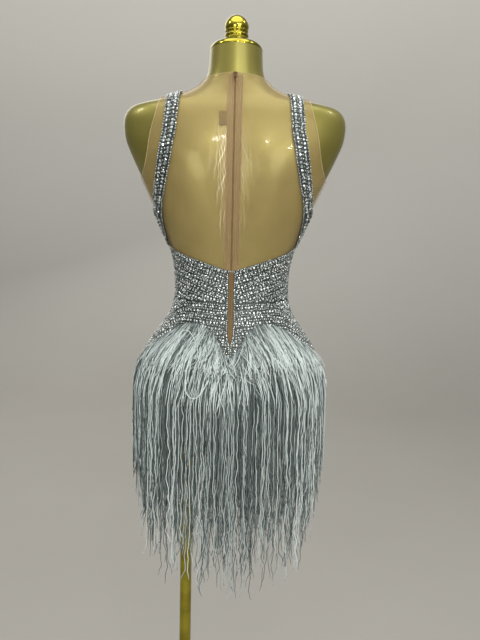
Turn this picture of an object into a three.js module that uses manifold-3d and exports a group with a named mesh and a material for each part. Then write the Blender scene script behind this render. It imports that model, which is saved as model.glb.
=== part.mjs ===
// Fringed glitter bodysuit on a limbless dress form with its stand, in millimetres.
// +Z is up, the garment's front faces -Y, its left side is +X, and the origin is on the
// floor under the middle of the form.
import * as THREE from "three";
import { mergeVertices } from "three/addons/utils/BufferGeometryUtils.js";
import Module from "manifold-3d";

const wasm = await Module();
wasm.setup();

// ---- Sizes of the dress form ----

const UNDERSIDE_Z = 832; // the flat underside of the form
const FORM_COLUMNS = 30;
const FORM_ROWS = 32;

// Level sections of the form, from its underside to its neck. half is the half width, and
// front, side and back are the Y of the front, of the widest place and of the back. square is
// the exponent of the outline (2 is an ellipse), and lean tips a section up towards the back.
const SECTIONS = [
  { z: 832.0, half: 60.0, front: -30, side: 8, back: 46, square: 2.2, lean: 0 },
  { z: 832.0, half: 122.0, front: -68, side: 8, back: 90, square: 2.2, lean: 0 },
  { z: 839.0, half: 139.0, front: -80, side: 8, back: 104, square: 2.2, lean: 0 },
  { z: 856.0, half: 153.0, front: -87, side: 8, back: 112, square: 2.2, lean: 0 },
  { z: 885.0, half: 163.0, front: -91, side: 8, back: 117, square: 2.2, lean: 0 },
  { z: 930.0, half: 169.0, front: -96, side: 8, back: 119, square: 2.2, lean: 0 },
  { z: 968.0, half: 166.0, front: -99, side: 8, back: 114, square: 2.2, lean: 0 },
  { z: 1003.0, half: 157.0, front: -100, side: 7, back: 104, square: 2.2, lean: 0 },
  { z: 1030.0, half: 143.0, front: -98, side: 6, back: 94, square: 2.2, lean: 0 },
  { z: 1056.0, half: 124.0, front: -95, side: 4, back: 85, square: 2.2, lean: 0 },
  { z: 1080.0, half: 109.0, front: -92, side: 2, back: 78, square: 2.2, lean: 0 },
  { z: 1107.0, half: 101.0, front: -90, side: 0, back: 74, square: 2.2, lean: 0 },
  { z: 1138.0, half: 99.5, front: -90, side: -1, back: 73, square: 2.2, lean: 0 },
  { z: 1170.0, half: 102.5, front: -93, side: -1, back: 76, square: 2.2, lean: 0 },
  { z: 1200.0, half: 110.0, front: -97, side: 0, back: 82, square: 2.2, lean: 0 },
  { z: 1230.0, half: 123.0, front: -101, side: 1, back: 88, square: 2.2, lean: 0 },
  { z: 1262.0, half: 136.5, front: -104, side: 2, back: 94, square: 2.2, lean: 0 },
  { z: 1294.0, half: 150.0, front: -104, side: 3, back: 98, square: 2.2, lean: 0 },
  { z: 1328.0, half: 166.0, front: -101, side: 4, back: 100, square: 2.2, lean: 0 },
  { z: 1360.0, half: 181.0, front: -94, side: 5, back: 99, square: 2.2, lean: 0 },
  { z: 1388.0, half: 192.5, front: -86, side: 6, back: 95, square: 2.2, lean: 0 },
  { z: 1410.0, half: 196.5, front: -77, side: 6, back: 90, square: 2.2, lean: 0 },
  { z: 1429.0, half: 195.5, front: -69, side: 7, back: 84, square: 2.2, lean: 0.01 },
  { z: 1442.0, half: 188.5, front: -63, side: 7, back: 78, square: 2.2, lean: 0.04 },
  { z: 1450.0, half: 177.0, front: -59, side: 7, back: 73, square: 2.2, lean: 0.075 },
  { z: 1455.5, half: 158.0, front: -56, side: 6, back: 69, square: 2.2, lean: 0.095 },
  { z: 1459.5, half: 135.0, front: -54, side: 6, back: 66, square: 2.2, lean: 0.115 },
  { z: 1464.5, half: 112.0, front: -52, side: 5, back: 63, square: 2.15, lean: 0.12 },
  { z: 1471.0, half: 90.0, front: -51, side: 4, back: 60, square: 2.1, lean: 0.125 },
  { z: 1480.0, half: 70.0, front: -51, side: 2, back: 56, square: 2.05, lean: 0.15 },
  { z: 1493.5, half: 55.5, front: -53, side: -1, back: 51, square: 2.0, lean: 0.175 },
  { z: 1513.0, half: 48.5, front: -57, side: -5, back: 46, square: 2.0, lean: 0.21 },
  { z: 1547.0, half: 46.5, front: -63, side: -13, back: 37, square: 2.0, lean: 0.25 },
];

// Soft mounds and hollows of the form: a bell of this depth in Y, spread wide and tall, on
// both sides of the middle.
const RELIEF = [
  { name: "bust", front: true, depth: 26, x: 72, z: 1288, wide: 39, tall: 42 },
  { name: "shoulder_blade", front: false, depth: 6, x: 76, z: 1372, wide: 36, tall: 54 },
  { name: "spine", front: false, depth: -3, x: 0, z: 1290, wide: 24, tall: 95 },
];

// ---- Sizes of the neck cap, the knob and the stand ----

const SEAM = 0.3; // the gap between two pieces that touch
const CAP_RADIUS = 46.8;
const CAP_HEIGHT = 14.5;
const CAP_DEPTH_RATIO = 1.08; // the neck is deeper than it is wide
const KNOB_RADIUS = 21.3;
const KNOB_HEIGHT = 52;
const POLE = { x: 77.5, y: 8, radius: 11 };
const COLLAR = { radius: 24, height: 12 };
const SOCKET = { radius: 22, height: 34 };
const BASE = { radius: 150, height: 8, bevel: 2.5 };
const ROUND_SIDES = 16;
const BASE_SIDES = 40;

// ---- Sizes of the cloth ----

// How far each layer's inner and outer face stand off the form.
const LAYER = {
  tape: { inner: 0.9, outer: 1.9 },
  mesh: { inner: 2.2, outer: 3.2 },
  glitter: { inner: 2.2, outer: 3.7 },
  brief: { inner: 2.2, outer: 3.2 },
  strap: { inner: 4.1, outer: 5.4 },
  fringeBand: { inner: 4.0, outer: 6.0 },
};

const BACK = 0; // the turn of the middle of the back
const SIDE = 90; // the turn of the wearer's left side
const FRONT = 180; // the turn of the middle of the front
const SIDE_SEAM = 0.15; // how far a side seam's two edges turn away from the side itself

const ZIP = { tapeHalf: 13, top: 1494.5, end: 1034, gapHalf: 4.6, taper: 22 };
const LABEL = { near: 13.5, far: 25.5, low: 1417.5, high: 1438.5 };

// Edges of the pieces. turn is the angle round the form from the middle of the back, and z the
// height of the form's section that the edge crosses there.
const NECKLINE = [
  { turn: 0, z: 1498.3 },
  { turn: 45, z: 1495 },
  { turn: 90, z: 1487.5 },
  { turn: 135, z: 1483.5 },
  { turn: 180, z: 1480 },
];
const GLITTER_TOP = [
  { turn: 0, z: 1168 },
  { turn: 6, z: 1171 },
  { turn: 19, z: 1179 },
  { turn: 34, z: 1187 },
  { turn: 54, z: 1196 },
  { turn: 66, z: 1201 },
  { turn: 76, z: 1207 },
  { turn: 90, z: 1213 },
];
const BODICE_TOP = [
  { turn: 90, z: 1262 },
  { turn: 105, z: 1272 },
  { turn: 120, z: 1290 },
  { turn: 135, z: 1308 },
  { turn: 146, z: 1314 },
  { turn: 156, z: 1308 },
  { turn: 168, z: 1290 },
  { turn: 180, z: 1276 },
];
const FRINGE_LINE = [
  { turn: 0, z: 1014 },
  { turn: 5, z: 1028 },
  { turn: 9, z: 1048 },
  { turn: 15, z: 1061 },
  { turn: 23, z: 1069 },
  { turn: 34, z: 1071 },
  { turn: 44, z: 1067 },
  { turn: 52, z: 1057 },
  { turn: 60, z: 1049 },
  { turn: 76, z: 1033 },
  { turn: 90, z: 1014 },
  { turn: 112, z: 1004 },
  { turn: 140, z: 1008 },
  { turn: 180, z: 1002 },
];
const LOWER_FRINGE_LINE = [
  { turn: 0, z: 972 },
  { turn: 22, z: 998 },
  { turn: 46, z: 996 },
  { turn: 70, z: 978 },
  { turn: 90, z: 966 },
  { turn: 135, z: 962 },
  { turn: 180, z: 960 },
];
const LEG_LINE = [
  { turn: 0, z: 866 },
  { turn: 12, z: 867 },
  { turn: 24, z: 886 },
  { turn: 40, z: 912 },
  { turn: 60, z: 932 },
  { turn: 90, z: 944 },
  { turn: 118, z: 938 },
  { turn: 140, z: 912 },
  { turn: 158, z: 884 },
  { turn: 169, z: 867 },
  { turn: 180, z: 866 },
];
const FRINGE_HEM = [
  { turn: 0, z: 566 },
  { turn: 30, z: 586 },
  { turn: 49, z: 640 },
  { turn: 58, z: 688 },
  { turn: 74, z: 756 },
  { turn: 90, z: 800 },
  { turn: 106, z: 756 },
  { turn: 122, z: 688 },
  { turn: 131, z: 640 },
  { turn: 150, z: 586 },
  { turn: 180, z: 570 },
];

// The armhole's edge, as the distance from the middle at each height. Where the form is
// narrower than that, the edge lies on its side.
const SHOULDER_X = 128;
const BACK_ARMHOLE = [
  { z: 1168, x: 170 },
  { z: 1310, x: 163 },
  { z: 1317, x: 161.5 },
  { z: 1321, x: 161.5 },
  { z: 1328, x: 160 },
  { z: 1340, x: 155.5 },
  { z: 1360, x: 150 },
  { z: 1401, x: 143.5 },
  { z: 1424, x: 138 },
  { z: 1437, x: 134.5 },
  { z: 1449, x: 131 },
  { z: 1461, x: SHOULDER_X },
  { z: 1510, x: SHOULDER_X },
];
const FRONT_ARMHOLE = [
  { z: 1168, x: 170 },
  { z: 1310, x: 163 },
  { z: 1317, x: 161.5 },
  { z: 1321, x: 161.5 },
  { z: 1328, x: 160.5 },
  { z: 1338, x: 156.5 },
  { z: 1354, x: 148 },
  { z: 1376, x: 137 },
  { z: 1402, x: 129 },
  { z: 1430, x: 124.5 },
  { z: 1446, x: 125.5 },
  { z: 1461, x: SHOULDER_X },
  { z: 1510, x: SHOULDER_X },
];

// The strap's two edges, from the left side seam up the back, over the shoulder and down the
// front. A place has its distance from the middle, and either its height or, near the
// shoulder's ridge, its turn.
const STRAP = [
  { inner: { x: 110, z: 1206.5 }, outer: { x: 170, z: 1214.5 } },
  { inner: { x: 117.6, z: 1240 }, outer: { x: 170, z: 1240 } },
  { inner: { x: 120.8, z: 1262 }, outer: { x: 170, z: 1262 } },
  { inner: { x: 121, z: 1269 }, outer: { x: 137.9, z: 1269 } },
  { inner: { x: 120.7, z: 1278 }, outer: { x: 137, z: 1278 } },
  { inner: { x: 120, z: 1288 }, outer: { x: 136.4, z: 1289 } },
  { inner: { x: 115, z: 1317 }, outer: { x: 134, z: 1318 } },
  { inner: { x: 109.3, z: 1345 }, outer: { x: 130.3, z: 1347 } },
  { inner: { x: 104.6, z: 1374 }, outer: { x: 126.2, z: 1376 } },
  { inner: { x: 99.7, z: 1402 }, outer: { x: 121.3, z: 1403 } },
  { inner: { x: 97.5, z: 1424 }, outer: { x: 119.2, z: 1424 } },
  { inner: { x: 96.4, z: 1438 }, outer: { x: 118, z: 1437 } },
  { inner: { x: 95.6, z: 1448 }, outer: { x: 117.2, z: 1446 } },
  { inner: { x: 95, z: 1454 }, outer: { x: 116.6, z: 1451.5 } },
  { inner: { x: 94.6, z: 1458 }, outer: { x: 116.2, z: 1455 } },
  { inner: { x: 94.2, turn: 48 }, outer: { x: 115.8, turn: 50 } },
  { inner: { x: 93.6, turn: 59 }, outer: { x: 115.2, turn: 60 } },
  { inner: { x: 93, turn: 70 }, outer: { x: 114.6, turn: 70 } },
  { inner: { x: 92.5, turn: 80 }, outer: { x: 114, turn: 80 } },
  { inner: { x: 92, turn: 90 }, outer: { x: 113.5, turn: 90 } },
  { inner: { x: 91.6, turn: 100 }, outer: { x: 113.1, turn: 100 } },
  { inner: { x: 91.2, turn: 110 }, outer: { x: 112.7, turn: 110 } },
  { inner: { x: 90.8, turn: 121 }, outer: { x: 112.3, turn: 120 } },
  { inner: { x: 90.4, turn: 132 }, outer: { x: 111.9, turn: 130 } },
  { inner: { x: 90, z: 1457.5 }, outer: { x: 111.5, z: 1454.5 } },
  { inner: { x: 89.5, z: 1452 }, outer: { x: 111, z: 1449 } },
  { inner: { x: 88.8, z: 1441 }, outer: { x: 110.2, z: 1439 } },
  { inner: { x: 88.3, z: 1424 }, outer: { x: 109.6, z: 1423 } },
  { inner: { x: 88, z: 1400 }, outer: { x: 109.2, z: 1400 } },
  { inner: { x: 88, z: 1374 }, outer: { x: 109, z: 1374 } },
  { inner: { x: 88, z: 1350 }, outer: { x: 108.8, z: 1350 } },
  { inner: { x: 88, z: 1334 }, outer: { x: 108.6, z: 1334 } },
  { inner: { x: 88, z: 1317.5 }, outer: { x: 108.5, z: 1317 } },
];
const STRAP_COLUMNS = 3;

const GUSSET = { half: 33, columns: 4, rows: [2.9, 2.5, 2.15, 1.8, 1.45, 1.1, 0.6] };

const SLIDER = { z: 1493.5, width: 7.4, length: 10.5, floor: 4, plate: 1.3, ear: 1.1, gap: 3.2 };
const PIN = { radius: 0.6, height: 2.4, up: 2.6 };
const PULL = { length: 20.5, shoulder: 7.4, tip: 4.2, rod: 1.3, thick: 1.1, tilt: 5 };
const EYE = { radius: 1.8, bore: 0.95, width: 2.6 };

// The two tiers of fringe. Each lock hangs from its band at line, stands off the form by the
// distances in clear, from its root down to HANG_Z, and falls straight from there. locks is how
// many a tier has in one sector.
const HANG_Z = 936;
const TIERS = [
  { name: "upper", line: FRINGE_LINE, clear: [5, 9.4, 13.2, 14.4], locks: 16, shift: 0.25 },
  { name: "lower", line: LOWER_FRINGE_LINE, clear: [5, 8.6, 9.2], locks: 12, shift: 0.75 },
];
const SECTORS = [
  { name: "back_left", from: 0, to: 90, hand: 1 },
  { name: "back_right", from: 0, to: 90, hand: -1 },
  { name: "front_left", from: 90, to: 180, hand: 1 },
  { name: "front_right", from: 90, to: 180, hand: -1 },
];
const LOCK = { root: 3.6, width: 8, tip: 4, thick: 2.4, sway: 3, ragged: 17 };
const BAND = { height: 8, drop: 1.2, columns: 16, end: 0.4, root: 4, first: 18 };

// ---- Colours ----

const finish = (color, roughness, metalness, more = {}) =>
  new THREE.MeshStandardMaterial({ color, roughness, metalness, ...more });
const SATIN_GOLD = finish(0x8f8443, 0.32, 0.85);
const BRIGHT_GOLD = finish(0xc9b52c, 0.12, 1);
const NUDE_MESH = finish(0xbd9a76, 0.7, 0, { transparent: true, opacity: 0.55 });
const NUDE_TAPE = finish(0x9c7350, 0.75, 0);
const GLITTER_CLOTH = finish(0x8f9794, 0.35, 0.5);
const BRIEF_CLOTH = finish(0x7f8a87, 0.6, 0.2);
const FRINGE_YARN = finish(0xb6c1be, 0.55, 0);
const ZIP_METAL = finish(0x6b4a2a, 0.35, 0.9);

// ---- Curves and the form's surface ----

/** Smooth value through a table's rows, where at is a row number that may have a fraction. */
function smooth(rows, column, at) {
  const last = rows.length - 1;
  const i = Math.min(Math.floor(at), last - 1);
  const t = at - i;
  const value = (k) => rows[Math.max(0, Math.min(last, k))][column];
  const [a, b, c, d] = [value(i - 1), value(i), value(i + 1), value(i + 2)];
  return b + 0.5 * t * (c - a + t * (2 * a - 5 * b + 4 * c - d + t * (3 * (b - c) + d - a)));
}

/** Value of a column where another column, which only grows, has the given value. */
function lookUp(rows, key, column, value) {
  const last = rows.length - 1;
  const rising = rows[last][key] > rows[0][key];
  const clamped = rising
    ? Math.min(Math.max(value, rows[0][key]), rows[last][key])
    : Math.max(Math.min(value, rows[0][key]), rows[last][key]);
  let [low, high] = [0, last];
  for (let step = 0; step < 32; step++) {
    const middle = (low + high) / 2;
    if (smooth(rows, key, middle) < clamped === rising) low = middle;
    else high = middle;
  }
  return smooth(rows, column, low);
}

SECTIONS.forEach((section, row) => (section.row = row));
const TOP_ROW = SECTIONS.length - 1;
const WIDEST_ROW = SECTIONS.findIndex((section) => section.z === 1410);
/** Row number of the form's section at a height. */
const rowAt = (z) => lookUp(SECTIONS, "z", "row", z);
/** Height of an edge at a turn to either side. */
const edgeAt = (edge, turn) => lookUp(edge, "turn", "z", Math.abs(turn));

const signedPower = (value, power) => Math.sign(value) * Math.abs(value) ** power;

/** Depth that the mounds and hollows add at a place, 0 at the form's sides. */
function reliefAt(x, z, frontness) {
  const bell = (distance, spread) => Math.exp(-(distance ** 2) / (2 * spread ** 2));
  return RELIEF.filter((mound) => mound.front === frontness > 0).reduce((sum, mound) => {
    const across = bell(Math.abs(x) - mound.x, mound.wide);
    return sum + mound.depth * across * bell(z - mound.z, mound.tall);
  }, 0);
}

/** Point of the bare form at a section row and a turn. */
function skinPoint(row, turn) {
  const at = THREE.MathUtils.clamp(row, 0, TOP_ROW);
  const angle = THREE.MathUtils.degToRad(turn);
  const [half, front, side, back] = ["half", "front", "side", "back"].map((name) =>
    smooth(SECTIONS, name, at),
  );
  const power = 2 / smooth(SECTIONS, "square", at);
  const z = Math.max(smooth(SECTIONS, "z", at), UNDERSIDE_Z);
  const x = half * signedPower(Math.sin(angle), power);
  const facing = signedPower(Math.cos(angle), power);
  const level = side + (facing > 0 ? back - side : side - front) * facing;
  const relief = reliefAt(x, z, -facing) * Math.abs(facing) ** 0.6;
  const y = level + Math.sign(facing) * relief;
  return new THREE.Vector3(x, y, z + smooth(SECTIONS, "lean", at) * (level - side));
}

/** Point that stands off the form by out, along its normal. */
function formPoint(row, turn, out = 0) {
  const [dRow, dTurn] = [0.02, 0.4];
  const up = skinPoint(row + dRow, turn).sub(skinPoint(row - dRow, turn));
  const round = skinPoint(row, turn + dTurn).sub(skinPoint(row, turn - dTurn));
  const normal = up.cross(round).normalize();
  return skinPoint(row, turn).addScaledVector(normal, out);
}

/** The turn at which the form's section at a row is x wide from the middle, 90 at most. */
function turnAtRow(row, x) {
  const share = Math.min(1, Math.abs(x) / smooth(SECTIONS, "half", row));
  return THREE.MathUtils.radToDeg(Math.asin(share ** (smooth(SECTIONS, "square", row) / 2)));
}
const turnAt = (z, x) => turnAtRow(rowAt(z), x);

/** Row near the shoulder's ridge where the form is x wide from the middle at a turn. */
function ridgeRow(x, turn) {
  const sine = Math.sin(THREE.MathUtils.degToRad(turn));
  let [low, high] = [WIDEST_ROW, TOP_ROW];
  for (let step = 0; step < 32; step++) {
    const middle = (low + high) / 2;
    const wide = smooth(SECTIONS, "half", middle) * sine ** (2 / smooth(SECTIONS, "square", middle));
    if (wide > x) low = middle;
    else high = middle;
  }
  return low;
}

// ---- Solids from grids of points ----

/** Geometry from points and triangles, turned so that its faces point out. */
function solidGeometry(points, triangles) {
  const volume = triangles.reduce((sum, [a, b, c]) => {
    const normal = new THREE.Vector3().crossVectors(points[b], points[c]);
    return sum + points[a].dot(normal);
  }, 0);
  const faces = volume < 0 ? triangles.map(([a, b, c]) => [a, c, b]) : triangles;
  const positions = points.flatMap((p) => [p.x, p.y, p.z]);
  return new THREE.BufferGeometry()
    .setAttribute("position", new THREE.Float32BufferAttribute(positions, 3))
    .setIndex(faces.flat());
}

/** Closed wall between two grids of points, each a list of rows of the same length. */
function wallBetween(outer, inner) {
  const [rows, columns] = [outer.length, outer[0].length];
  const points = [...outer.flat(), ...inner.flat()];
  const out = (j, i) => j * columns + i;
  const inn = (j, i) => rows * columns + j * columns + i;
  const triangles = [];
  const quad = (a, b, c, d) => triangles.push([a, b, c], [a, c, d]);
  for (let j = 0; j + 1 < rows; j++) {
    for (let i = 0; i + 1 < columns; i++) {
      quad(out(j, i), out(j + 1, i), out(j + 1, i + 1), out(j, i + 1));
      quad(inn(j, i), inn(j, i + 1), inn(j + 1, i + 1), inn(j + 1, i));
    }
    const end = columns - 1;
    quad(out(j, 0), inn(j, 0), inn(j + 1, 0), out(j + 1, 0));
    quad(out(j, end), out(j + 1, end), inn(j + 1, end), inn(j, end));
  }
  for (let i = 0; i + 1 < columns; i++) {
    const top = rows - 1;
    quad(out(0, i), out(0, i + 1), inn(0, i + 1), inn(0, i));
    quad(out(top, i), inn(top, i), inn(top, i + 1), out(top, i + 1));
  }
  return solidGeometry(points, triangles);
}

/** Wall of cloth on the form. place(i, j) gives { z or row, turn } for column i and row j. */
function clothWall(place, columns, rows, layer) {
  const grid = (out) =>
    Array.from({ length: rows + 1 }, (_, j) =>
      Array.from({ length: columns + 1 }, (_, i) => {
        const { z, turn, row = rowAt(z) } = place(i, j);
        return formPoint(row, turn, out);
      }),
    );
  return wallBetween(grid(layer.outer), grid(layer.inner));
}

/** The same geometry on the other side of the middle. */
function mirrored(geometry) {
  const flipped = geometry.clone().scale(-1, 1, 1);
  const index = Array.from(flipped.index.array);
  for (let i = 0; i < index.length; i += 3)
    [index[i + 1], index[i + 2]] = [index[i + 2], index[i + 1]];
  return flipped.setIndex(index);
}

/** A geometry as a manifold solid. */
function toSolid(geometry) {
  const bare = geometry.clone();
  bare.deleteAttribute("normal");
  bare.deleteAttribute("uv");
  const merged = mergeVertices(bare, 1e-4);
  return new wasm.Manifold(
    new wasm.Mesh({
      numProp: 3,
      vertProperties: new Float32Array(merged.attributes.position.array),
      triVerts: new Uint32Array(merged.index.array),
    }),
  );
}

/** A manifold solid as a geometry. */
function toGeometry(solid) {
  const mesh = solid.getMesh();
  return new THREE.BufferGeometry()
    .setAttribute("position", new THREE.BufferAttribute(mesh.vertProperties, 3))
    .setIndex(new THREE.BufferAttribute(mesh.triVerts, 1));
}

const joined = (geometries) => toGeometry(wasm.Manifold.union(geometries.map(toSolid)));

/** Solid turned about Z from a profile of [radius, height] pairs. */
function turned(profile, sides = ROUND_SIDES) {
  const points = profile.map(([radius, height]) => new THREE.Vector2(radius, height));
  return new THREE.LatheGeometry(points, sides).rotateX(Math.PI / 2);
}

const group = new THREE.Group();

function addPiece(name, geometry, material) {
  const mesh = new THREE.Mesh(geometry, material);
  mesh.name = name;
  group.add(mesh);
  return mesh;
}

// ---- The dress form and its stand ----

/** The form as one closed body, flat underneath and at the neck. */
function formBody() {
  const rings = Array.from({ length: FORM_ROWS + 1 }, (_, j) =>
    Array.from({ length: FORM_COLUMNS }, (_, i) =>
      formPoint((TOP_ROW * j) / FORM_ROWS, (i * 360) / FORM_COLUMNS),
    ),
  );
  const centre = (ring) =>
    ring.reduce((sum, point) => sum.add(point), new THREE.Vector3()).divideScalar(ring.length);
  const points = [...rings.flat(), centre(rings[0]), centre(rings.at(-1))];
  const [bottom, top] = [points.length - 2, points.length - 1];
  const last = FORM_ROWS * FORM_COLUMNS;
  const triangles = [];
  for (let i = 0; i < FORM_COLUMNS; i++) {
    const next = (i + 1) % FORM_COLUMNS;
    for (let j = 0; j < FORM_ROWS; j++) {
      const [low, high] = [j * FORM_COLUMNS, (j + 1) * FORM_COLUMNS];
      triangles.push([low + i, high + i, high + next], [low + i, high + next, low + next]);
    }
    triangles.push([bottom, i, next], [top, last + next, last + i]);
  }
  return solidGeometry(points, triangles);
}

addPiece("form_torso", formBody(), SATIN_GOLD);

const NECK = SECTIONS[TOP_ROW];
const neckTop = new THREE.Group();
neckTop.position.set(0, NECK.side, NECK.z);
neckTop.rotation.x = Math.atan(NECK.lean);
group.add(neckTop);

/** Low dome that closes the neck. */
function neckCap() {
  const [r, h] = [CAP_RADIUS, CAP_HEIGHT];
  const profile = [
    [0, 0],
    [r - 0.6, 0],
    [r, 1],
    [r - 0.6, 4.5],
    [r - 2.6, 7.6],
    [r - 6.5, 10.6],
    [r - 15, h - 1.1],
    [KNOB_RADIUS + 2, h],
    [0, h],
  ];
  return turned(profile).scale(1, CAP_DEPTH_RATIO, 1).translate(0, 0, SEAM);
}

/** Turned knob: a plain foot, a groove, a bead and an egg-shaped head. */
function neckKnob() {
  const [r, h] = [KNOB_RADIUS, KNOB_HEIGHT];
  const profile = [
    [0, 0],
    [r - 0.7, 0],
    [r, 1.5],
    [r - 0.2, 15],
    [r - 2.6, 17.8],
    [r - 2.6, 19.4],
    [r - 0.6, 21.6],
    [r - 1.8, 23.4],
    [r, 29],
    [r - 1.4, 35.5],
    [r - 4.6, 41.8],
    [r - 10, 47.6],
    [r - 16, h - 1],
    [0, h],
  ];
  return turned(profile).translate(0, 0, CAP_HEIGHT + 2 * SEAM);
}

for (const [name, geometry] of [
  ["neck_cap", neckCap()],
  ["neck_knob", neckKnob()],
])
  neckTop.add(Object.assign(new THREE.Mesh(geometry, BRIGHT_GOLD), { name }));

/** Ring round the pole, from one height to another, with its outer edges eased. */
function poleRing(radius, low, high, ease) {
  const bore = POLE.radius + SEAM;
  return turned([
    [bore, low],
    [radius - ease, low],
    [radius, low + ease],
    [radius, high - ease],
    [radius - ease, high],
    [bore, high],
    [bore, low],
  ]).translate(POLE.x, POLE.y, 0);
}

const poleFoot = BASE.height + SEAM;
const poleHead = UNDERSIDE_Z - SEAM;
const pole = new THREE.CylinderGeometry(
  POLE.radius,
  POLE.radius,
  poleHead - poleFoot,
  ROUND_SIDES,
);
pole.rotateX(Math.PI / 2).translate(POLE.x, POLE.y, (poleHead + poleFoot) / 2);
addPiece("stand_pole", pole, BRIGHT_GOLD);
addPiece(
  "stand_collar",
  poleRing(COLLAR.radius, poleHead - COLLAR.height, poleHead, 1.5),
  BRIGHT_GOLD,
);
addPiece(
  "stand_socket",
  poleRing(SOCKET.radius, poleFoot, poleFoot + SOCKET.height, 3),
  BRIGHT_GOLD,
);
addPiece(
  "stand_base",
  turned(
    [
      [0, 0],
      [BASE.radius - 1, 0],
      [BASE.radius, 1],
      [BASE.radius, BASE.height - BASE.bevel],
      [BASE.radius - BASE.bevel, BASE.height],
      [0, BASE.height],
    ],
    BASE_SIDES,
  ),
  BRIGHT_GOLD,
);

// ---- The nude mesh ----

const mix = (a, b, share) => a + (b - a) * share;

// Columns of the back pieces lie where their edges turn, so that the scallops keep their form,
// and neighbours share them, so that the seams run side by side.
const BACK_COLUMNS = [0, 5, 9, 15, 23, 34, 46, 58, 74, 90];
const FRONT_COLUMNS = Array.from({ length: 10 }, (_, i) => SIDE + (i * (FRONT - SIDE)) / 9);
const shareOf = (columns, i) => (columns[i] - columns[0]) / (columns.at(-1) - columns[0]);

// Heights of the mesh's rows from the bottom of the armhole to the shoulder's ridge. They lie
// closer together where the armhole and the shoulder turn. Below and above them the rows are
// even, up from the panel's lower edge and on to the neckline.
const ARM_ROWS = [
  1317, 1321, 1328, 1338, 1354, 1375, 1396, 1414, 1429, 1439, 1446, 1452, 1456.5, 1459.5, 1461,
];
const MESH_ROWS = { back: 6, front: 3, neck: 3 };
const meshRows = (below) => below + ARM_ROWS.length - 1 + MESH_ROWS.neck;

/** Height of one of the mesh's rows, with so many rows below the armhole. */
function meshHeight(row, below, low, high) {
  if (row < below) return mix(low, ARM_ROWS[0], row / below);
  const above = row - below - (ARM_ROWS.length - 1);
  return above > 0 ? mix(ARM_ROWS.at(-1), high, above / MESH_ROWS.neck) : ARM_ROWS[row - below];
}

/** Back mesh panel from the zip to the armhole, and from the glitter up to the neckline. */
function meshBack(i, j) {
  const turn = BACK_COLUMNS[i];
  const low = edgeAt(GLITTER_TOP, turn) + SEAM;
  const z = meshHeight(j, MESH_ROWS.back, low, edgeAt(NECKLINE, turn));
  const edge = Math.min(turnAt(z, lookUp(BACK_ARMHOLE, "z", "x", z)), SIDE - SIDE_SEAM);
  return { z, turn: mix(turnAt(z, SEAM), edge, shareOf(BACK_COLUMNS, i)) };
}

/** Front mesh yoke, from the left armhole over the middle to the right one. */
function meshFront(i, j) {
  const half = FRONT_COLUMNS.length - 1;
  const column = FRONT_COLUMNS[i > half ? 2 * half - i : i];
  const low = edgeAt(BODICE_TOP, column) + SEAM;
  const z = meshHeight(j, MESH_ROWS.front, low, edgeAt(NECKLINE, column));
  const edge = Math.min(turnAt(z, lookUp(FRONT_ARMHOLE, "z", "x", z)), SIDE - SIDE_SEAM);
  const turn = mix(FRONT - edge, FRONT, (column - SIDE) / (FRONT - SIDE));
  return { z, turn: i > half ? 2 * FRONT - turn : turn };
}

const backColumns = BACK_COLUMNS.length - 1;
const frontColumns = 2 * (FRONT_COLUMNS.length - 1);
const meshBackLeft = clothWall(meshBack, backColumns, meshRows(MESH_ROWS.back), LAYER.mesh);
addPiece("mesh_back_left", meshBackLeft, NUDE_MESH);
addPiece("mesh_back_right", mirrored(meshBackLeft), NUDE_MESH);
const meshYoke = clothWall(meshFront, frontColumns, meshRows(MESH_ROWS.front), LAYER.mesh);
addPiece("mesh_front", meshYoke, NUDE_MESH);

// ---- The glitter panels and straps ----

/** Half width, at a height, of the gap over the zip between the two glitter back panels. */
function zipGap(z) {
  return mix(SEAM, ZIP.gapHalf, THREE.MathUtils.clamp((z - ZIP.end) / ZIP.taper, 0, 1));
}

const BACK_ROWS = 7;

/** Glitter back panel from the zip to the side seam. */
function glitterBack(i, j) {
  const turn = BACK_COLUMNS[i];
  const z = mix(edgeAt(FRINGE_LINE, turn), edgeAt(GLITTER_TOP, turn), j / BACK_ROWS);
  const [start, end] = [turnAt(z, zipGap(z)), SIDE - SIDE_SEAM];
  return { z, turn: Math.max(start, Math.min(turn, end)) };
}

const BODICE_ROWS = { body: 7, bust: 5, bustZ: 1236 };

/** Turn of a front column, from the left side seam over the middle to the right one. */
function frontTurn(i) {
  const turn = SIDE + (i * (FRONT - SIDE)) / (FRONT_COLUMNS.length - 1);
  const edge = SIDE + SIDE_SEAM;
  return THREE.MathUtils.clamp(turn, edge, 2 * FRONT - edge);
}
/** The same distance from the middle of the back, on the left side. */
const foldTurn = (turn) => (turn > FRONT ? 2 * FRONT - turn : Math.abs(turn));

/** Glitter front in one piece, with rows closer together over the bust. */
function glitterFront(i, j) {
  const turn = frontTurn(i);
  const [low, high] = [edgeAt(FRINGE_LINE, foldTurn(turn)), edgeAt(BODICE_TOP, foldTurn(turn))];
  const { body, bust, bustZ } = BODICE_ROWS;
  const z = j <= body ? mix(low, bustZ, j / body) : mix(bustZ, high, (j - body) / bust);
  return { z, turn };
}

/** Place on an edge of the strap: the form's row and the turn there. */
function strapEdge({ x, z, turn }, front) {
  if (turn !== undefined) return { row: ridgeRow(x, turn > SIDE ? FRONT - turn : turn), turn };
  const row = rowAt(z);
  const back = turnAtRow(row, x);
  return { row, turn: front ? FRONT - back : back };
}

const ridgeAt = STRAP.findIndex((station) => station.inner.turn === SIDE);

/** Strap across its width, i, and along its length, j. */
function strapPlace(i, j) {
  const [inner, outer] = [STRAP[j].inner, STRAP[j].outer].map((e) => strapEdge(e, j > ridgeAt));
  const share = i / STRAP_COLUMNS;
  return { row: mix(inner.row, outer.row, share), turn: mix(inner.turn, outer.turn, share) };
}

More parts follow.
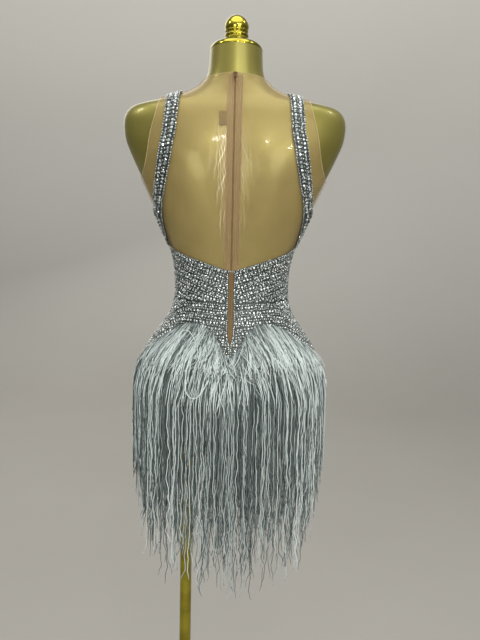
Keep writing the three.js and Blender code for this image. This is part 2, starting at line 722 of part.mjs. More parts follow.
const glitterBackLeft = clothWall(glitterBack, backColumns, BACK_ROWS, LAYER.glitter);
addPiece("glitter_back_left", glitterBackLeft, GLITTER_CLOTH);
addPiece("glitter_back_right", mirrored(glitterBackLeft), GLITTER_CLOTH);
const bodiceRows = BODICE_ROWS.body + BODICE_ROWS.bust;
addPiece(
  "glitter_front",
  clothWall(glitterFront, frontColumns, bodiceRows, LAYER.glitter),
  GLITTER_CLOTH,
);
const strapLeft = clothWall(strapPlace, STRAP_COLUMNS, STRAP.length - 1, LAYER.strap);
addPiece("strap_left", strapLeft, GLITTER_CLOTH);
addPiece("strap_right", mirrored(strapLeft), GLITTER_CLOTH);

// ---- The brief under the fringe ----

const BRIEF_ROWS = 7;

/** Height in the brief, from its leg line up to the glitter's lower edge. */
function briefHeight(turn, j) {
  const away = foldTurn(turn);
  return mix(edgeAt(LEG_LINE, away), edgeAt(FRINGE_LINE, away) - SEAM, j / BRIEF_ROWS);
}

/** Back of the brief, from the right side seam to the left one. */
function briefBack(i, j) {
  const column = BACK_COLUMNS[Math.abs(i - backColumns)];
  const away = Math.min(column, SIDE - SIDE_SEAM);
  return { z: briefHeight(away, j), turn: i < backColumns ? -away : away };
}
const briefFront = (i, j) => ({ z: briefHeight(frontTurn(i), j), turn: frontTurn(i) });

// Rows of the form that the gusset follows, from the brief's edge to the middle of the underside.
const GUSSET_ROWS = [rowAt(LEG_LINE[0].z - 3 * SEAM), ...GUSSET.rows];

/** Gusset, across i and along j, from the brief's back under the form to its front. */
function gussetPoint(i, j, out) {
  const rows = GUSSET_ROWS;
  const x = mix(-GUSSET.half, GUSSET.half, i / GUSSET.columns);
  const onBack = j < rows.length;
  const row = rows[onBack ? j : 2 * rows.length - 1 - j];
  const back = Math.sign(x) * turnAtRow(row, x);
  return formPoint(row, onBack ? back : FRONT - back, out);
}

addPiece("brief_back", clothWall(briefBack, 2 * backColumns, BRIEF_ROWS, LAYER.brief), BRIEF_CLOTH);
addPiece("brief_front", clothWall(briefFront, frontColumns, BRIEF_ROWS, LAYER.brief), BRIEF_CLOTH);
const gussetGrid = (out) =>
  Array.from({ length: 2 * GUSSET_ROWS.length }, (_, j) =>
    Array.from({ length: GUSSET.columns + 1 }, (_, i) => gussetPoint(i, j, out)),
  );
const { inner: briefInner, outer: briefOuter } = LAYER.brief;
addPiece("gusset", wallBetween(gussetGrid(briefOuter), gussetGrid(briefInner)), BRIEF_CLOTH);

// ---- The zip, its pull and the label ----

const TAPE_ROWS = 28;

/** Zip tape on the left of the middle. */
function tapePlace(i, j) {
  const row = mix(rowAt(ZIP.end), rowAt(ZIP.top), j / TAPE_ROWS);
  return { row, turn: turnAtRow(row, mix(SEAM, ZIP.tapeHalf, i)) };
}

/** Label beside the left tape. */
function labelPlace(i, j) {
  const z = mix(LABEL.low, LABEL.high, j / 3);
  return { z, turn: turnAt(z, mix(LABEL.near, LABEL.far, i)) };
}

const tapeLeft = clothWall(tapePlace, 1, TAPE_ROWS, LAYER.tape);
addPiece("zip_tape_left", tapeLeft, NUDE_TAPE);
addPiece("zip_tape_right", mirrored(tapeLeft), NUDE_TAPE);
addPiece("label", clothWall(labelPlace, 1, 3, LAYER.tape), NUDE_TAPE);

// The slider's frame has its Y up along the zip and its Z straight out from the back.
const zipHead = new THREE.Group();
const sliderRow = rowAt(SLIDER.z);
const outward = formPoint(sliderRow, BACK, 1).sub(formPoint(sliderRow, BACK, 0)).normalize();
const across = new THREE.Vector3(-1, 0, 0);
const along = new THREE.Vector3().crossVectors(outward, across);
zipHead.quaternion.setFromRotationMatrix(new THREE.Matrix4().makeBasis(across, along, outward));
zipHead.position.copy(formPoint(sliderRow, BACK, SLIDER.floor));
group.add(zipHead);

/** Bar of a round or flat outline laid across the zip, centred at x. */
function acrossZip(shape, width, x) {
  const bar = new THREE.ExtrudeGeometry(shape, { depth: width, bevelEnabled: false });
  return bar.rotateY(Math.PI / 2).translate(x - width / 2, PIN.up, 0);
}

/** Disc outline of a radius, centred at a height over the slider's floor. */
function discShape(radius, height, sides) {
  const points = Array.from({ length: sides }, (_, i) => {
    const angle = ((i + 0.5) * 2 * Math.PI) / sides;
    return new THREE.Vector2(radius * Math.cos(angle) - height, radius * Math.sin(angle));
  });
  return new THREE.Shape(points);
}

const PIN_Z = SLIDER.plate + PIN.height;

/** Slider: a plate wider at its top, two ears and the pin between them. */
function zipSlider() {
  const { width, length, plate, ear, gap } = SLIDER;
  const shield = new THREE.Shape();
  shield.moveTo(-0.32 * width, -length / 2);
  shield.lineTo(0.32 * width, -length / 2);
  shield.lineTo(0.46 * width, -0.1 * length);
  shield.lineTo(0.5 * width, 0.32 * length);
  shield.lineTo(0.34 * width, length / 2);
  shield.lineTo(-0.34 * width, length / 2);
  shield.lineTo(-0.5 * width, 0.32 * length);
  shield.lineTo(-0.46 * width, -0.1 * length);
  const body = new THREE.ExtrudeGeometry(shield, { depth: plate, bevelEnabled: false });
  const earShape = new THREE.Shape([
    new THREE.Vector2(-0.5 * plate, -2.2),
    new THREE.Vector2(-PIN_Z, -1.4),
    new THREE.Vector2(-PIN_Z - 1, -0.7),
    new THREE.Vector2(-PIN_Z - 1, 0.7),
    new THREE.Vector2(-PIN_Z, 1.4),
    new THREE.Vector2(-0.5 * plate, 1.8),
  ]);
  const ears = [-1, 1].map((side) => acrossZip(earShape, ear, (side * (gap + ear)) / 2));
  return joined([body, ...ears, acrossZip(discShape(PIN.radius, PIN_Z, 10), gap + ear, 0)]);
}

/** Pull tab: an eye round the pin and a flat drop-shaped loop that hangs from it. */
function zipPull() {
  const { length, shoulder, tip, rod, thick, tilt } = PULL;
  const outline = (inset) => {
    const [low, high] = [-length + inset, -EYE.radius - 0.6 - inset];
    const [wide, narrow] = [shoulder / 2 - inset, tip / 2 - inset];
    return [
      new THREE.Vector2(-narrow * 0.55, low),
      new THREE.Vector2(narrow * 0.55, low),
      new THREE.Vector2(narrow, low + 1.6),
      new THREE.Vector2(wide, high - 4),
      new THREE.Vector2(wide * 0.86, high - 1.4),
      new THREE.Vector2(wide * 0.45, high),
      new THREE.Vector2(-wide * 0.45, high),
      new THREE.Vector2(-wide * 0.86, high - 1.4),
      new THREE.Vector2(-wide, high - 4),
      new THREE.Vector2(-narrow, low + 1.6),
    ];
  };
  const loop = new THREE.Shape(outline(0));
  loop.holes.push(new THREE.Path(outline(rod)));
  const flat = { depth: thick, bevelEnabled: false };
  const ring = new THREE.ExtrudeGeometry(loop, flat).translate(0, 0, -thick / 2);
  const half = EYE.width / 2;
  const neck = new THREE.Shape([
    new THREE.Vector2(-half, -EYE.radius - 1.6),
    new THREE.Vector2(half, -EYE.radius - 1.6),
    new THREE.Vector2(half, -EYE.bore - 0.35),
    new THREE.Vector2(-half, -EYE.bore - 0.35),
  ]);
  const tongue = new THREE.ExtrudeGeometry(neck, flat).translate(0, 0, -thick / 2);
  const eyeShape = discShape(EYE.radius, 0, 16);
  eyeShape.holes.push(new THREE.Path(discShape(EYE.bore, 0, 12).getPoints().reverse()));
  const eye = acrossZip(eyeShape, EYE.width, 0).translate(0, -PIN.up, 0);
  return joined([ring, tongue, eye]).rotateX(THREE.MathUtils.degToRad(tilt));
}

zipHead.add(Object.assign(new THREE.Mesh(zipSlider(), ZIP_METAL), { name: "zip_slider" }));
const pull = Object.assign(new THREE.Mesh(zipPull(), ZIP_METAL), { name: "zip_pull" });
pull.position.set(0, PIN.up, PIN_Z);
zipHead.add(pull);

// ---- The fringe ----

/** Pseudo-random number from -1 to 1 that is always the same for the same seed. */
function scatter(seed) {
  const [stretch, spread] = [12.9898, 43758.5453];
  return 2 * THREE.MathUtils.euclideanModulo(Math.sin(seed * stretch) * spread, 1) - 1;
}

/** Three-sided lock of fringe down a list of stations { centre, wide, out, width, thick }. */
function lockGeometry(stations) {
  const points = stations.flatMap(({ centre, wide, out, width, thick }) => [
    centre.clone().addScaledVector(wide, width / 2).addScaledVector(out, -thick / 2),
    centre.clone().addScaledVector(out, thick / 2),
    centre.clone().addScaledVector(wide, -width / 2).addScaledVector(out, -thick / 2),
  ]);
  const triangles = [];
  for (let k = 0; k + 1 < stations.length; k++) {
    for (let side = 0; side < 3; side++) {
      const [a, b] = [3 * k + side, 3 * k + ((side + 1) % 3)];
      triangles.push([a, b, b + 3], [a, b + 3, a + 3]);
    }
  }
  const end = points.length - 3;
  triangles.push([0, 2, 1], [end, end + 1, end + 2]);
  return solidGeometry(points, triangles);
}

/** One lock of a tier at a turn on the left side. seed sets its sway and its length. */
function fringeLock(tier, turn, seed) {
  const line = edgeAt(tier.line, turn) - BAND.drop;
  const [first, falls] = [line - BAND.first, tier.clear.length - 1];
  const hem = edgeAt(FRINGE_HEM, turn) + LOCK.ragged * (1 + scatter(seed));
  const heights = tier.clear.map((_, k) =>
    k ? mix(first, HANG_Z, (k - 1) / (falls - 1)) : line - BAND.root,
  );
  const place = (z, clear) => formPoint(rowAt(z), turn, clear);
  const hang = place(HANG_Z, tier.clear[falls]);
  const out = place(HANG_Z, 1).sub(place(HANG_Z, 0)).setZ(0).normalize();
  const wide = new THREE.Vector3(-out.y, out.x, 0);
  const centres = tier.clear.map((clear, k) => place(heights[k], clear));
  centres.push(hang.clone().addScaledVector(wide, LOCK.sway * scatter(seed + 7.3)).setZ(hem));
  const last = centres.length - 1;
  const widths = centres.map((_, k) => {
    return k === last ? LOCK.tip : mix(LOCK.root, LOCK.width, (k * k) / (falls * falls));
  });
  return lockGeometry(
    centres.map((centre, k) => ({
      centre,
      wide,
      out,
      width: widths[k],
      thick: k ? LOCK.thick : LAYER.fringeBand.outer - LAYER.fringeBand.inner - 0.6,
    })),
  );
}

/** The band that carries one tier's locks in one sector. */
function fringeBand(tier, sector) {
  const [start, end] = [sector.from + BAND.end, sector.to - BAND.end];
  const place = (i, j) => {
    const turn = mix(start, end, i / BAND.columns);
    return { z: edgeAt(tier.line, turn) - BAND.drop - BAND.height * (1 - j), turn };
  };
  return clothWall(place, BAND.columns, 1, LAYER.fringeBand);
}

for (const tier of TIERS) {
  for (const sector of SECTORS) {
    const locks = Array.from({ length: tier.locks }, (_, i) => {
      const turn = mix(sector.from, sector.to, (i + tier.shift) / tier.locks);
      return fringeLock(tier, turn, turn * sector.hand + tier.shift);
    });
    const fringe = joined([fringeBand(tier, sector), ...locks]);
    const turnedOver = sector.hand > 0 ? fringe : mirrored(fringe);
    addPiece(`fringe_${tier.name}_${sector.name}`, turnedOver, FRINGE_YARN);
  }
}

export default group;
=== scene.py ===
"""Looks of a fringed glitter bodysuit on a limbless dress form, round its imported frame.

Lengths are in millimetres until a mesh is filled, where they become metres. +Z is up, the garment's
front faces -Y, its left side is +X, and the origin is on the floor under the form. A place on the
form is a section row and a turn: the turn is the angle round the form from the middle of the back.
"""

import logging
import math
from dataclasses import dataclass
from enum import Enum
from typing import NamedTuple, Optional, Sequence, Union

import bpy
import numpy as np
from mathutils import Matrix, Vector


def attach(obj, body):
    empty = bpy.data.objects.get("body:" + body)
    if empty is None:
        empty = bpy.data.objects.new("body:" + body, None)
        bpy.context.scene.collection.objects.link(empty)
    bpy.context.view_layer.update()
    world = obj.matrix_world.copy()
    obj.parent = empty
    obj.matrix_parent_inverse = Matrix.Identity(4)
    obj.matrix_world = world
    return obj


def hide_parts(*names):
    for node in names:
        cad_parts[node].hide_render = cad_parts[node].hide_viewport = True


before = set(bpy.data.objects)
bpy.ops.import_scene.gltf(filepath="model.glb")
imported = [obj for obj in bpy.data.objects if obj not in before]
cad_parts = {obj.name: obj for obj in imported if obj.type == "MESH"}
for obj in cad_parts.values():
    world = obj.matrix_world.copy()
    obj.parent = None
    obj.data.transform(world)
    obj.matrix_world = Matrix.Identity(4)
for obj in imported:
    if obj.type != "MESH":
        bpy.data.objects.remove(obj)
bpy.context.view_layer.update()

log = logging.getLogger("bodysuit")
MM = 0.001
ROOT = "root"

Array = np.ndarray
Colour = tuple[float, float, float]
Piece = bpy.types.Object
Material = bpy.types.Material
Profile = Sequence[tuple[float, float]]
Solid = tuple[Array, list[Array]]  # points, and groups of faces with one face a row


# ---- Shader nodes ----


class Wire:
    """An output socket that takes part in sums: each operator on it adds the Math node for it."""

    def __init__(self, board: "Board", socket: bpy.types.NodeSocket) -> None:
        """Keeps the board that the socket is on, and the socket."""
        self.board = board
        self.socket = socket

    def math(self, operation: str, *terms: "Number") -> "Wire":
        """Adds one Math node over the given terms."""
        inputs = dict(enumerate(terms))
        return self.board.node("ShaderNodeMath", {"operation": operation}, inputs)

    def __add__(self, other: "Number") -> "Wire":
        """Sum."""
        return self.math("ADD", self, other)

    __radd__ = __add__

    def __sub__(self, other: "Number") -> "Wire":
        """Difference."""
        return self.math("SUBTRACT", self, other)

    def __rsub__(self, other: "Number") -> "Wire":
        """Difference from a number."""
        return self.math("SUBTRACT", other, self)

    def __mul__(self, other: "Number") -> "Wire":
        """Product."""
        return self.math("MULTIPLY", self, other)

    __rmul__ = __mul__

    def sine(self) -> "Wire":
        """Sine."""
        return self.math("SINE", self)

    def ramp(self, low: float, high: float) -> "Wire":
        """0 at low and 1 at high, straight between them and level beyond."""
        inputs = {"Value": self, "From Min": low, "From Max": high}
        return self.board.node("ShaderNodeMapRange", {"clamp": True}, inputs)

    def wave(self) -> "Wire":
        """Sine that runs from 0 to 1."""
        return self.sine().ramp(-1.0, 1.0)


Number = Union[Wire, float]


class Board:
    """The node tree of one material."""

    def __init__(self, name: str) -> None:
        """Makes an empty material of that name."""
        self.material = bpy.data.materials.new(name)
        self.material.use_nodes = True
        self.tree = self.material.node_tree
        self.tree.nodes.clear()

    def node(
        self,
        kind: str,
        settings: Optional[dict] = None,
        inputs: Optional[dict] = None,
        output: Union[int, str] = 0,
    ) -> Wire:
        """Adds any node.

        Args:
            kind: the node's type.
            settings: the node's own settings, set before its sockets.
            inputs: a value or a wire for each input, by name or number.
            output: the output to return.

        Returns:
            That output as a wire.
        """
        made = self.tree.nodes.new(kind)
        for name, value in (settings or {}).items():
            setattr(made, name, value)
        for key, value in (inputs or {}).items():
            self.join(value, made.inputs[key])
        return Wire(self, made.outputs[output])

    def join(self, value: object, socket: bpy.types.NodeSocket) -> None:
        """Links a wire to a socket, or sets the socket to a number, colour or vector."""
        if isinstance(value, Wire):
            self.tree.links.new(value.socket, socket)
        elif isinstance(value, tuple) and len(value) == 3 and socket.type == "RGBA":
            socket.default_value = (*value, 1.0)
        else:
            socket.default_value = value

    def place(self) -> Wire:
        """The place on the object, in metres."""
        return self.node("ShaderNodeTexCoord", output="Object")

    def parts(self, vector: Wire) -> list[Wire]:
        """The three numbers of a vector."""
        split = self.node("ShaderNodeSeparateXYZ", inputs={0: vector}).socket.node
        return [Wire(self, socket) for socket in split.outputs]

    def cloth_place(self) -> tuple[Wire, Wire]:
        """The place on the cloth, across and along it, in metres."""
        across, along, _ = self.parts(self.node("ShaderNodeUVMap", {"uv_map": "cloth"}))
        return across, along

    def value_of(self, attribute: str) -> Wire:
        """The number that the mesh holds under a name."""
        return self.node("ShaderNodeAttribute", {"attribute_name": attribute}, output="Fac")

    def noise(self, size: float, detail: float = 2.0, at: Optional[Wire] = None) -> Wire:
        """Soft noise from 0 to 1 whose lumps are about size millimetres wide."""
        inputs = {"Vector": at or self.place(), "Scale": 1 / (size * MM), "Detail": detail}
        return self.node("ShaderNodeTexNoise", inputs=inputs)

    def cells(self, size: float, output: str = "Color") -> Wire:
        """A random value, or the distance from the middle, for each cell of that size."""
        inputs = {"Vector": self.place(), "Scale": 1 / (size * MM)}
        return self.node("ShaderNodeTexVoronoi", inputs=inputs, output=output)

    def between(self, first: object, second: object, share: Number, blend: str = "MIX") -> Wire:
        """A colour between two, or the first blended with a share of the second."""
        settings = {"data_type": "RGBA", "blend_type": blend}
        return self.node("ShaderNodeMix", settings, {0: share, 6: first, 7: second}, output=2)

    def bump(self, height: Wire, depth: float) -> Wire:
        """A normal bent by a height from 0 to 1 that stands for so many millimetres."""
        inputs = {"Height": height, "Distance": depth * MM, "Strength": 1.0}
        return self.node("ShaderNodeBump", inputs=inputs)

    def surface(self, **sockets: object) -> Material:
        """Ends the material in a Principled shader.

        Args:
            sockets: a value or a wire for each of its inputs, in the words of SOCKET_WORDS.

        Returns:
            The finished material.
        """
        shader = self.tree.nodes.new("ShaderNodeBsdfPrincipled")
        for word, value in sockets.items():
            self.join(value, shader.inputs[SOCKET_WORDS[word]])
        output = self.tree.nodes.new("ShaderNodeOutputMaterial")
        self.tree.links.new(shader.outputs[0], output.inputs[0])
        return self.material


SOCKET_WORDS = {
    "colour": "Base Color",
    "rough": "Roughness",
    "metal": "Metallic",
    "clear": "Alpha",
    "coat": "Coat Weight",
    "coat_rough": "Coat Roughness",
    "sheen": "Sheen Weight",
    "sheen_rough": "Sheen Roughness",
    "gloss": "Specular IOR Level",
    "normal": "Normal",
}


# ---- Finishes ----


def turns_a_metre(pitch: float) -> float:
    """The angle through which a wave with a pitch in millimetres turns in a metre."""
    return 2 * math.pi / (pitch * MM)


@dataclass(frozen=True)
class SatinGold:
    """Sprayed khaki-gold gloss over a moulded form, with faint scuffs."""

    light: Colour = (0.274, 0.242, 0.054)
    dark: Colour = (0.2, 0.174, 0.036)
    rough: float = 0.36

    def material(self) -> Material:
        """Colour drifts over a hand's width, and fine scuffs dull the gloss."""
        board = Board("satin_gold")
        drift = board.noise(90.0, 1.0)
        scuffs = board.noise(7.0, 6.0).ramp(0.66, 0.74)
        return board.surface(
            colour=board.between(self.dark, self.light, drift),
            metal=0.7,
            rough=self.rough + 0.05 * drift + 0.12 * scuffs,
            coat=0.28,
            coat_rough=0.07,
            normal=board.bump(board.noise(1.6, 1.0), 0.012),
        )


@dataclass(frozen=True)
class BrightGold:
    """Polished brass-gold plate with hairline scratches and dulled patches."""

    light: Colour = (0.4, 0.345, 0.043)
    dark: Colour = (0.22, 0.18, 0.018)

    def material(self) -> Material:
        """Stretched noise makes the hairlines, and broad noise the handled patches."""
        board = Board("bright_gold")
        stretched = {"Vector": board.place(), "Scale": (1.0, 1.0, 0.06)}
        place = board.node("ShaderNodeMapping", {"vector_type": "POINT"}, stretched)
        hairlines = board.noise(0.9, 3.0, place).ramp(0.52, 0.7)
        patches = board.noise(30.0, 3.0)
        return board.surface(
            colour=board.between(self.dark, self.light, patches.ramp(0.25, 0.6)),
            metal=1.0,
            rough=0.09 + 0.09 * patches + 0.07 * hairlines,
            normal=board.bump(hairlines, 0.006),
        )


@dataclass(frozen=True)
class NudeMesh:
    """Sheer stretch mesh: a fine net of beige threads that lets the form show through."""

    thread: Colour = (0.58, 0.42, 0.18)
    shade: Colour = (0.44, 0.31, 0.125)
    # crest is a painted highlight, mixed in along the crests of the creases where the mesh gathers.
    crest: Colour = (0.95, 0.86, 0.6)
    pitch: float = 1.1
    cover: float = 0.15

    def material(self) -> Material:
        """Two crossing sine waves make the net, and it covers more where it gathers, where a painted
        highlight is also mixed into its colour.
        """
        board = Board("nude_mesh")
        across, along = board.cloth_place()
        turns = turns_a_metre(self.pitch)
        net = (((across + along) * turns).sine() * ((across - along) * turns).sine()).ramp(-1.0, 1.0)
        cloudy = board.noise(24.0, 3.0)
        gather = board.value_of("gather")
        # Where the mesh gathers it covers more, and the painted crease highlight is mixed into its colour.
        return board.surface(
            colour=board.between(board.between(self.shade, self.thread, cloudy), self.crest, gather),
            rough=0.5,
            clear=self.cover * 0.6 + self.cover * 0.8 * net + 0.05 * cloudy + 0.5 * gather,
            sheen=0.15,
            sheen_rough=0.4,
            gloss=0.5,
            normal=board.bump(net, 0.05),
        )


@dataclass(frozen=True)
class WovenTape:
    """Nude woven tape with a herringbone weave."""

    name: str
    light: Colour = (0.185, 0.12, 0.048)
    dark: Colour = (0.12, 0.076, 0.029)
    pitch: float = 1.3

    def material(self) -> Material:
        """Diagonal ribs that turn back and forth across the tape."""
        board = Board(self.name)
        across, along = board.cloth_place()
        turns = turns_a_metre(self.pitch)
        zigzag = (across * (turns / 4)).sine() * 1.6
        rib = (along * turns + zigzag).wave()
        patches = board.noise(11.0, 3.0)
        return board.surface(
            colour=board.between(self.dark, self.light, 0.35 * rib + 0.65 * patches),
            rough=0.74,
            sheen=0.1,
            gloss=0.3,
            normal=board.bump(rib, 0.12),
        )


@dataclass(frozen=True)
class GlitterCloth:
    """Grey cloth packed with fine glitter that shows between the crystals."""

    dark: Colour = (0.008, 0.011, 0.01)
    light: Colour = (0.095, 0.112, 0.105)
    flake: float = 0.9

    def material(self) -> Material:
        """Every flake has its own brightness and gloss, and bright flakes are few."""
        board = Board("glitter_cloth")
        flake = board.cells(self.flake)
        return board.surface(
            colour=board.between(self.dark, self.light, flake.ramp(0.35, 0.95)),
            metal=0.45,
            rough=0.5 - 0.28 * flake,
            normal=board.bump(board.cells(self.flake, "Distance"), 0.25),
        )


@dataclass(frozen=True)
class CrystalFire:
    """Foil-backed crystal: each facet has a painted reflection, a brightness from near black to white
    that stands for the dark and bright surroundings it would mirror.
    """

    # Dark, grey and white are steps of the painted reflection on the facets.
    dark: Colour = (0.05, 0.058, 0.06)
    grey: Colour = (0.27, 0.305, 0.292)
    white: Colour = (0.97, 1.0, 0.98)

    def material(self) -> Material:
        """The facets' painted reflection runs through dark, grey and white, with a trace of colour."""
        board = Board("crystal_fire")
        fire = board.value_of("fire")
        low = board.between(self.dark, self.grey, fire.ramp(0.0, 0.5))
        full = board.between(low, self.white, fire.ramp(0.5, 0.85))
        tint = board.between((0.84, 1.0, 0.94), (1.0, 0.96, 0.9), board.value_of("tint"))
        return board.surface(
            colour=board.between(full, tint, 0.35, "MULTIPLY"),
            metal=0.45,
            rough=0.12 + 0.14 * board.value_of("tint"),
            coat=0.6,
            coat_rough=0.03,
        )


@dataclass(frozen=True)
class BriefCloth:
    """Plain grey stretch satin under the fringe."""

    light: Colour = (0.2, 0.225, 0.22)
    dark: Colour = (0.13, 0.15, 0.15)
    pitch: float = 0.8

    def material(self) -> Material:
        """A fine rib across the cloth with a slow change of tone."""
        board = Board("brief_cloth")
        across, _ = board.cloth_place()
        rib = (across * turns_a_metre(self.pitch)).wave()
        return board.surface(
            colour=board.between(self.dark, self.light, 0.3 * rib + 0.7 * board.noise(20.0)),
            rough=0.5,
            sheen=0.3,
            normal=board.bump(rib, 0.05),
        )


@dataclass(frozen=True)
class FringeYarn:
    """Silver-grey viscose chainette: looped yarn with a soft shine."""

    # The dark end stands for the yarn in painted shade.
    dark: Colour = (0.025, 0.049, 0.047)
    light: Colour = (0.84, 0.94, 0.91)
    stitch: float = 2.4

    def material(self) -> Material:
        """A strand's tone, which carries its painted shade, sets its colour, and each stitch of the chain is
        a bump.
        """
        board = Board("fringe_yarn")
        across, along = board.cloth_place()
        turns = turns_a_metre(self.stitch)
        chain = (along * turns + across * 3.0).wave()
        tone = board.value_of("tone")
        return board.surface(
            colour=board.between(self.dark, self.light, tone * (0.8 + 0.2 * chain)),
            rough=0.44,
            sheen=0.2,
            gloss=0.55,
            normal=board.bump(chain, 0.25),
        )


@dataclass(frozen=True)
class ZipMetal:
    """Lacquered dark metal of the slider and its pull, rubbed bright in patches."""

    light: Colour = (0.2, 0.11, 0.05)
    dark: Colour = (0.06, 0.034, 0.018)

    def material(self) -> Material:
        """Broad noise wears the lacquer away in patches."""
        board = Board("zip_metal")
        worn = board.noise(1.7, 3.0).ramp(0.42, 0.62)
        return board.surface(
            colour=board.between(self.dark, self.light, worn),
            metal=0.7,
            rough=0.42 - 0.12 * worn,
            normal=board.bump(worn, 0.02),
        )


@dataclass(frozen=True)
class StudioPaint:
    """Matt pale paint of the floor and backdrop."""

    floor: Colour = (0.32, 0.307, 0.28)
    wall: Colour = (0.95, 0.93, 0.87)

    def material(self) -> Material:
        """Paler up the wall than on the floor, and barely mottled."""
        board = Board("studio_paint")
        height = board.parts(board.place())[2].ramp(0.0, 2.4)
        share = height + 0.05 * board.noise(700.0, 2.0)
        return board.surface(colour=board.between(self.floor, self.wall, share), rough=0.85)


# ---- Meshes from arrays ----


class Facets(Enum):
    """How a mesh's faces meet."""

    FLAT = "flat"
    SMOOTH = "smooth"
    CREASED = "creased"


CREASE_ANGLE = math.radians(42)
GOLDEN = 0.618034  # steps of this share of a whole never bunch
HALVINGS = 32  # of a span in a search, which leave nothing of it


def place_object(name: str, data: object) -> Piece:
    """A new object with that data in the scene."""
    made = bpy.data.objects.new(name, data)
    bpy.context.scene.collection.objects.link(made)
    return made


def unit(vectors: Array) -> Array:
    """The vectors at length 1."""
    return vectors / np.maximum(np.linalg.norm(vectors, axis=-1, keepdims=True), 1e-12)


def grid_faces(rows: int, columns: int, closed: bool = False) -> Array:
    """Quads of a grid of points, row by row, that may close across its columns."""
    j, i = np.meshgrid(np.arange(rows - 1), np.arange(columns if closed else columns - 1), indexing="ij")
    k = (i + 1) % columns
    quads = np.stack([j * columns + i, j * columns + k, (j + 1) * columns + k, (j + 1) * columns + i], -1)
    return quads.reshape(-1, 4)


def outward(points: Array, faces: Sequence[Array]) -> list[Array]:
    """The faces of a closed body turned to point out: its signed volume is then over 0."""
    volume = 0.0
    middle = points.mean(axis=0)
    for group in faces:
        corners = points[group] - middle
        for k in range(1, group.shape[1] - 1):
            spread = np.cross(corners[:, k], corners[:, k + 1])
            volume += float(np.einsum("ij,ij->", corners[:, 0], spread))
    return [group[:, ::-1] for group in faces] if volume < 0 else list(faces)


def fill_mesh(
    name: str,
    points: Array,
    faces: Sequence[Array],
    facets: Facets = Facets.SMOOTH,
    cloth: Optional[Array] = None,
    values: Optional[dict[str, Array]] = None,
) -> Piece:
    """Puts arrays into a new object that sits at the origin.

    Args:
        name: the piece's name.
        points: places in millimetres, one a row.
        faces: groups of faces, each group an array with one face a row.
        facets: how the faces meet.
        cloth: the place on the cloth for each point, in metres.
        values: named numbers for each point, or for each face.

    Returns:
        The new object.
    """
    mesh = bpy.data.meshes.new(name)
    corners = np.concatenate([group.ravel() for group in faces]).astype(np.int32)
    sizes = np.concatenate([np.full(len(group), group.shape[1]) for group in faces])
    starts = np.concatenate([[0], np.cumsum(sizes)[:-1]]).astype(np.int32)
    mesh.vertices.add(len(points))
    mesh.vertices.foreach_set("co", (points * MM).astype(np.float32).ravel())
    mesh.loops.add(len(corners))
    mesh.loops.foreach_set("vertex_index", corners)
    mesh.polygons.add(len(sizes))
    mesh.polygons.foreach_set("loop_start", starts)
    mesh.polygons.foreach_set("use_smooth", np.full(len(sizes), facets is not Facets.FLAT))
    if cloth is not None:
        layer = mesh.uv_layers.new(name="cloth")
        layer.data.foreach_set("uv", cloth[corners].astype(np.float32).ravel())
    for word, numbers in (values or {}).items():
        domain = "POINT" if len(numbers) == len(points) else "FACE"
        mesh.attributes.new(word, "FLOAT", domain).data.foreach_set("value", numbers.astype(np.float32))
    mesh.update(calc_edges=True)
    mesh.validate()
    if facets is Facets.CREASED:
        mesh.set_sharp_from_angle(angle=CREASE_ANGLE)
    return place_object(name, mesh)


def wall(outer: Array, inner: Array) -> Solid:
    """Closed wall between two grids of the same size: both faces and a rim of quads round them."""
    rows, columns = outer.shape[:2]
    sheet = grid_faces(rows, columns)
    back = rows * columns
    near, far = np.arange(columns), (rows - 1) * columns + np.arange(columns)
    left, right = np.arange(rows) * columns, np.arange(rows) * columns + columns - 1
    rim = [
        np.stack([edge[:-1], edge[1:], back + edge[1:], back + edge[:-1]], -1)[:, ::turn]
        for edge, turn in ((near, -1), (far, 1), (left, 1), (right, -1))
    ]
    points = np.concatenate([outer.reshape(-1, 3), inner.reshape(-1, 3)])
    return points, outward(points, [sheet, back + sheet[:, ::-1], *rim])


def rings_round(profile: Array, sides: int) -> Array:
    """Rings round Z through radius and height pairs: x = r cos a, y = r sin a, z = h."""
    angle = np.arange(sides) * (2 * math.pi / sides)
    x, y = profile[:, :1] * np.cos(angle), profile[:, :1] * np.sin(angle)
    return np.stack([x, y, np.broadcast_to(profile[:, 1:], x.shape)], -1)


def capped(rings: Array, foot: Sequence[float], head: Sequence[float]) -> Solid:
    """Closed body through rings of points, with a fan of triangles to a point at each end."""
    rows, sides = rings.shape[:2]
    points = np.concatenate([rings.reshape(-1, 3), [foot, head]])
    side, last = np.arange(sides), (rows - 1) * sides
    after = (side + 1) % sides
    below = np.stack([np.full(sides, rows * sides), after, side], -1)
    over = np.stack([np.full(sides, rows * sides + 1), last + side, last + after], -1)
    return points, outward(points, [grid_faces(rows, sides, closed=True), below, over])


def spun(profile: Profile, sides: int) -> Solid:
    """Body turned about Z, whose first and last pairs lie on the axis."""
    rings = rings_round(np.array(profile[1:-1], float), sides)
    return capped(rings, (0.0, 0.0, profile[0][1]), (0.0, 0.0, profile[-1][1]))


def rounded(profile: Profile, steps: int) -> list[tuple[float, float]]:
    """A profile with so many smooth steps between each two of its rows."""
    table = np.array(profile, float)
    at = np.linspace(0, len(table) - 1, (len(table) - 1) * steps + 1)
    smoothed = np.stack([smooth(table[:, 0], at), smooth(table[:, 1], at)], -1)
    smoothed[:, 0] = np.maximum(smoothed[:, 0], 0.0)
    return [tuple(row) for row in smoothed]


def run_along(path: Array) -> Array:
    """The length from a path's start to each of its points."""
    return np.concatenate([[0.0], np.linalg.norm(np.diff(path, axis=0), axis=1).cumsum()])


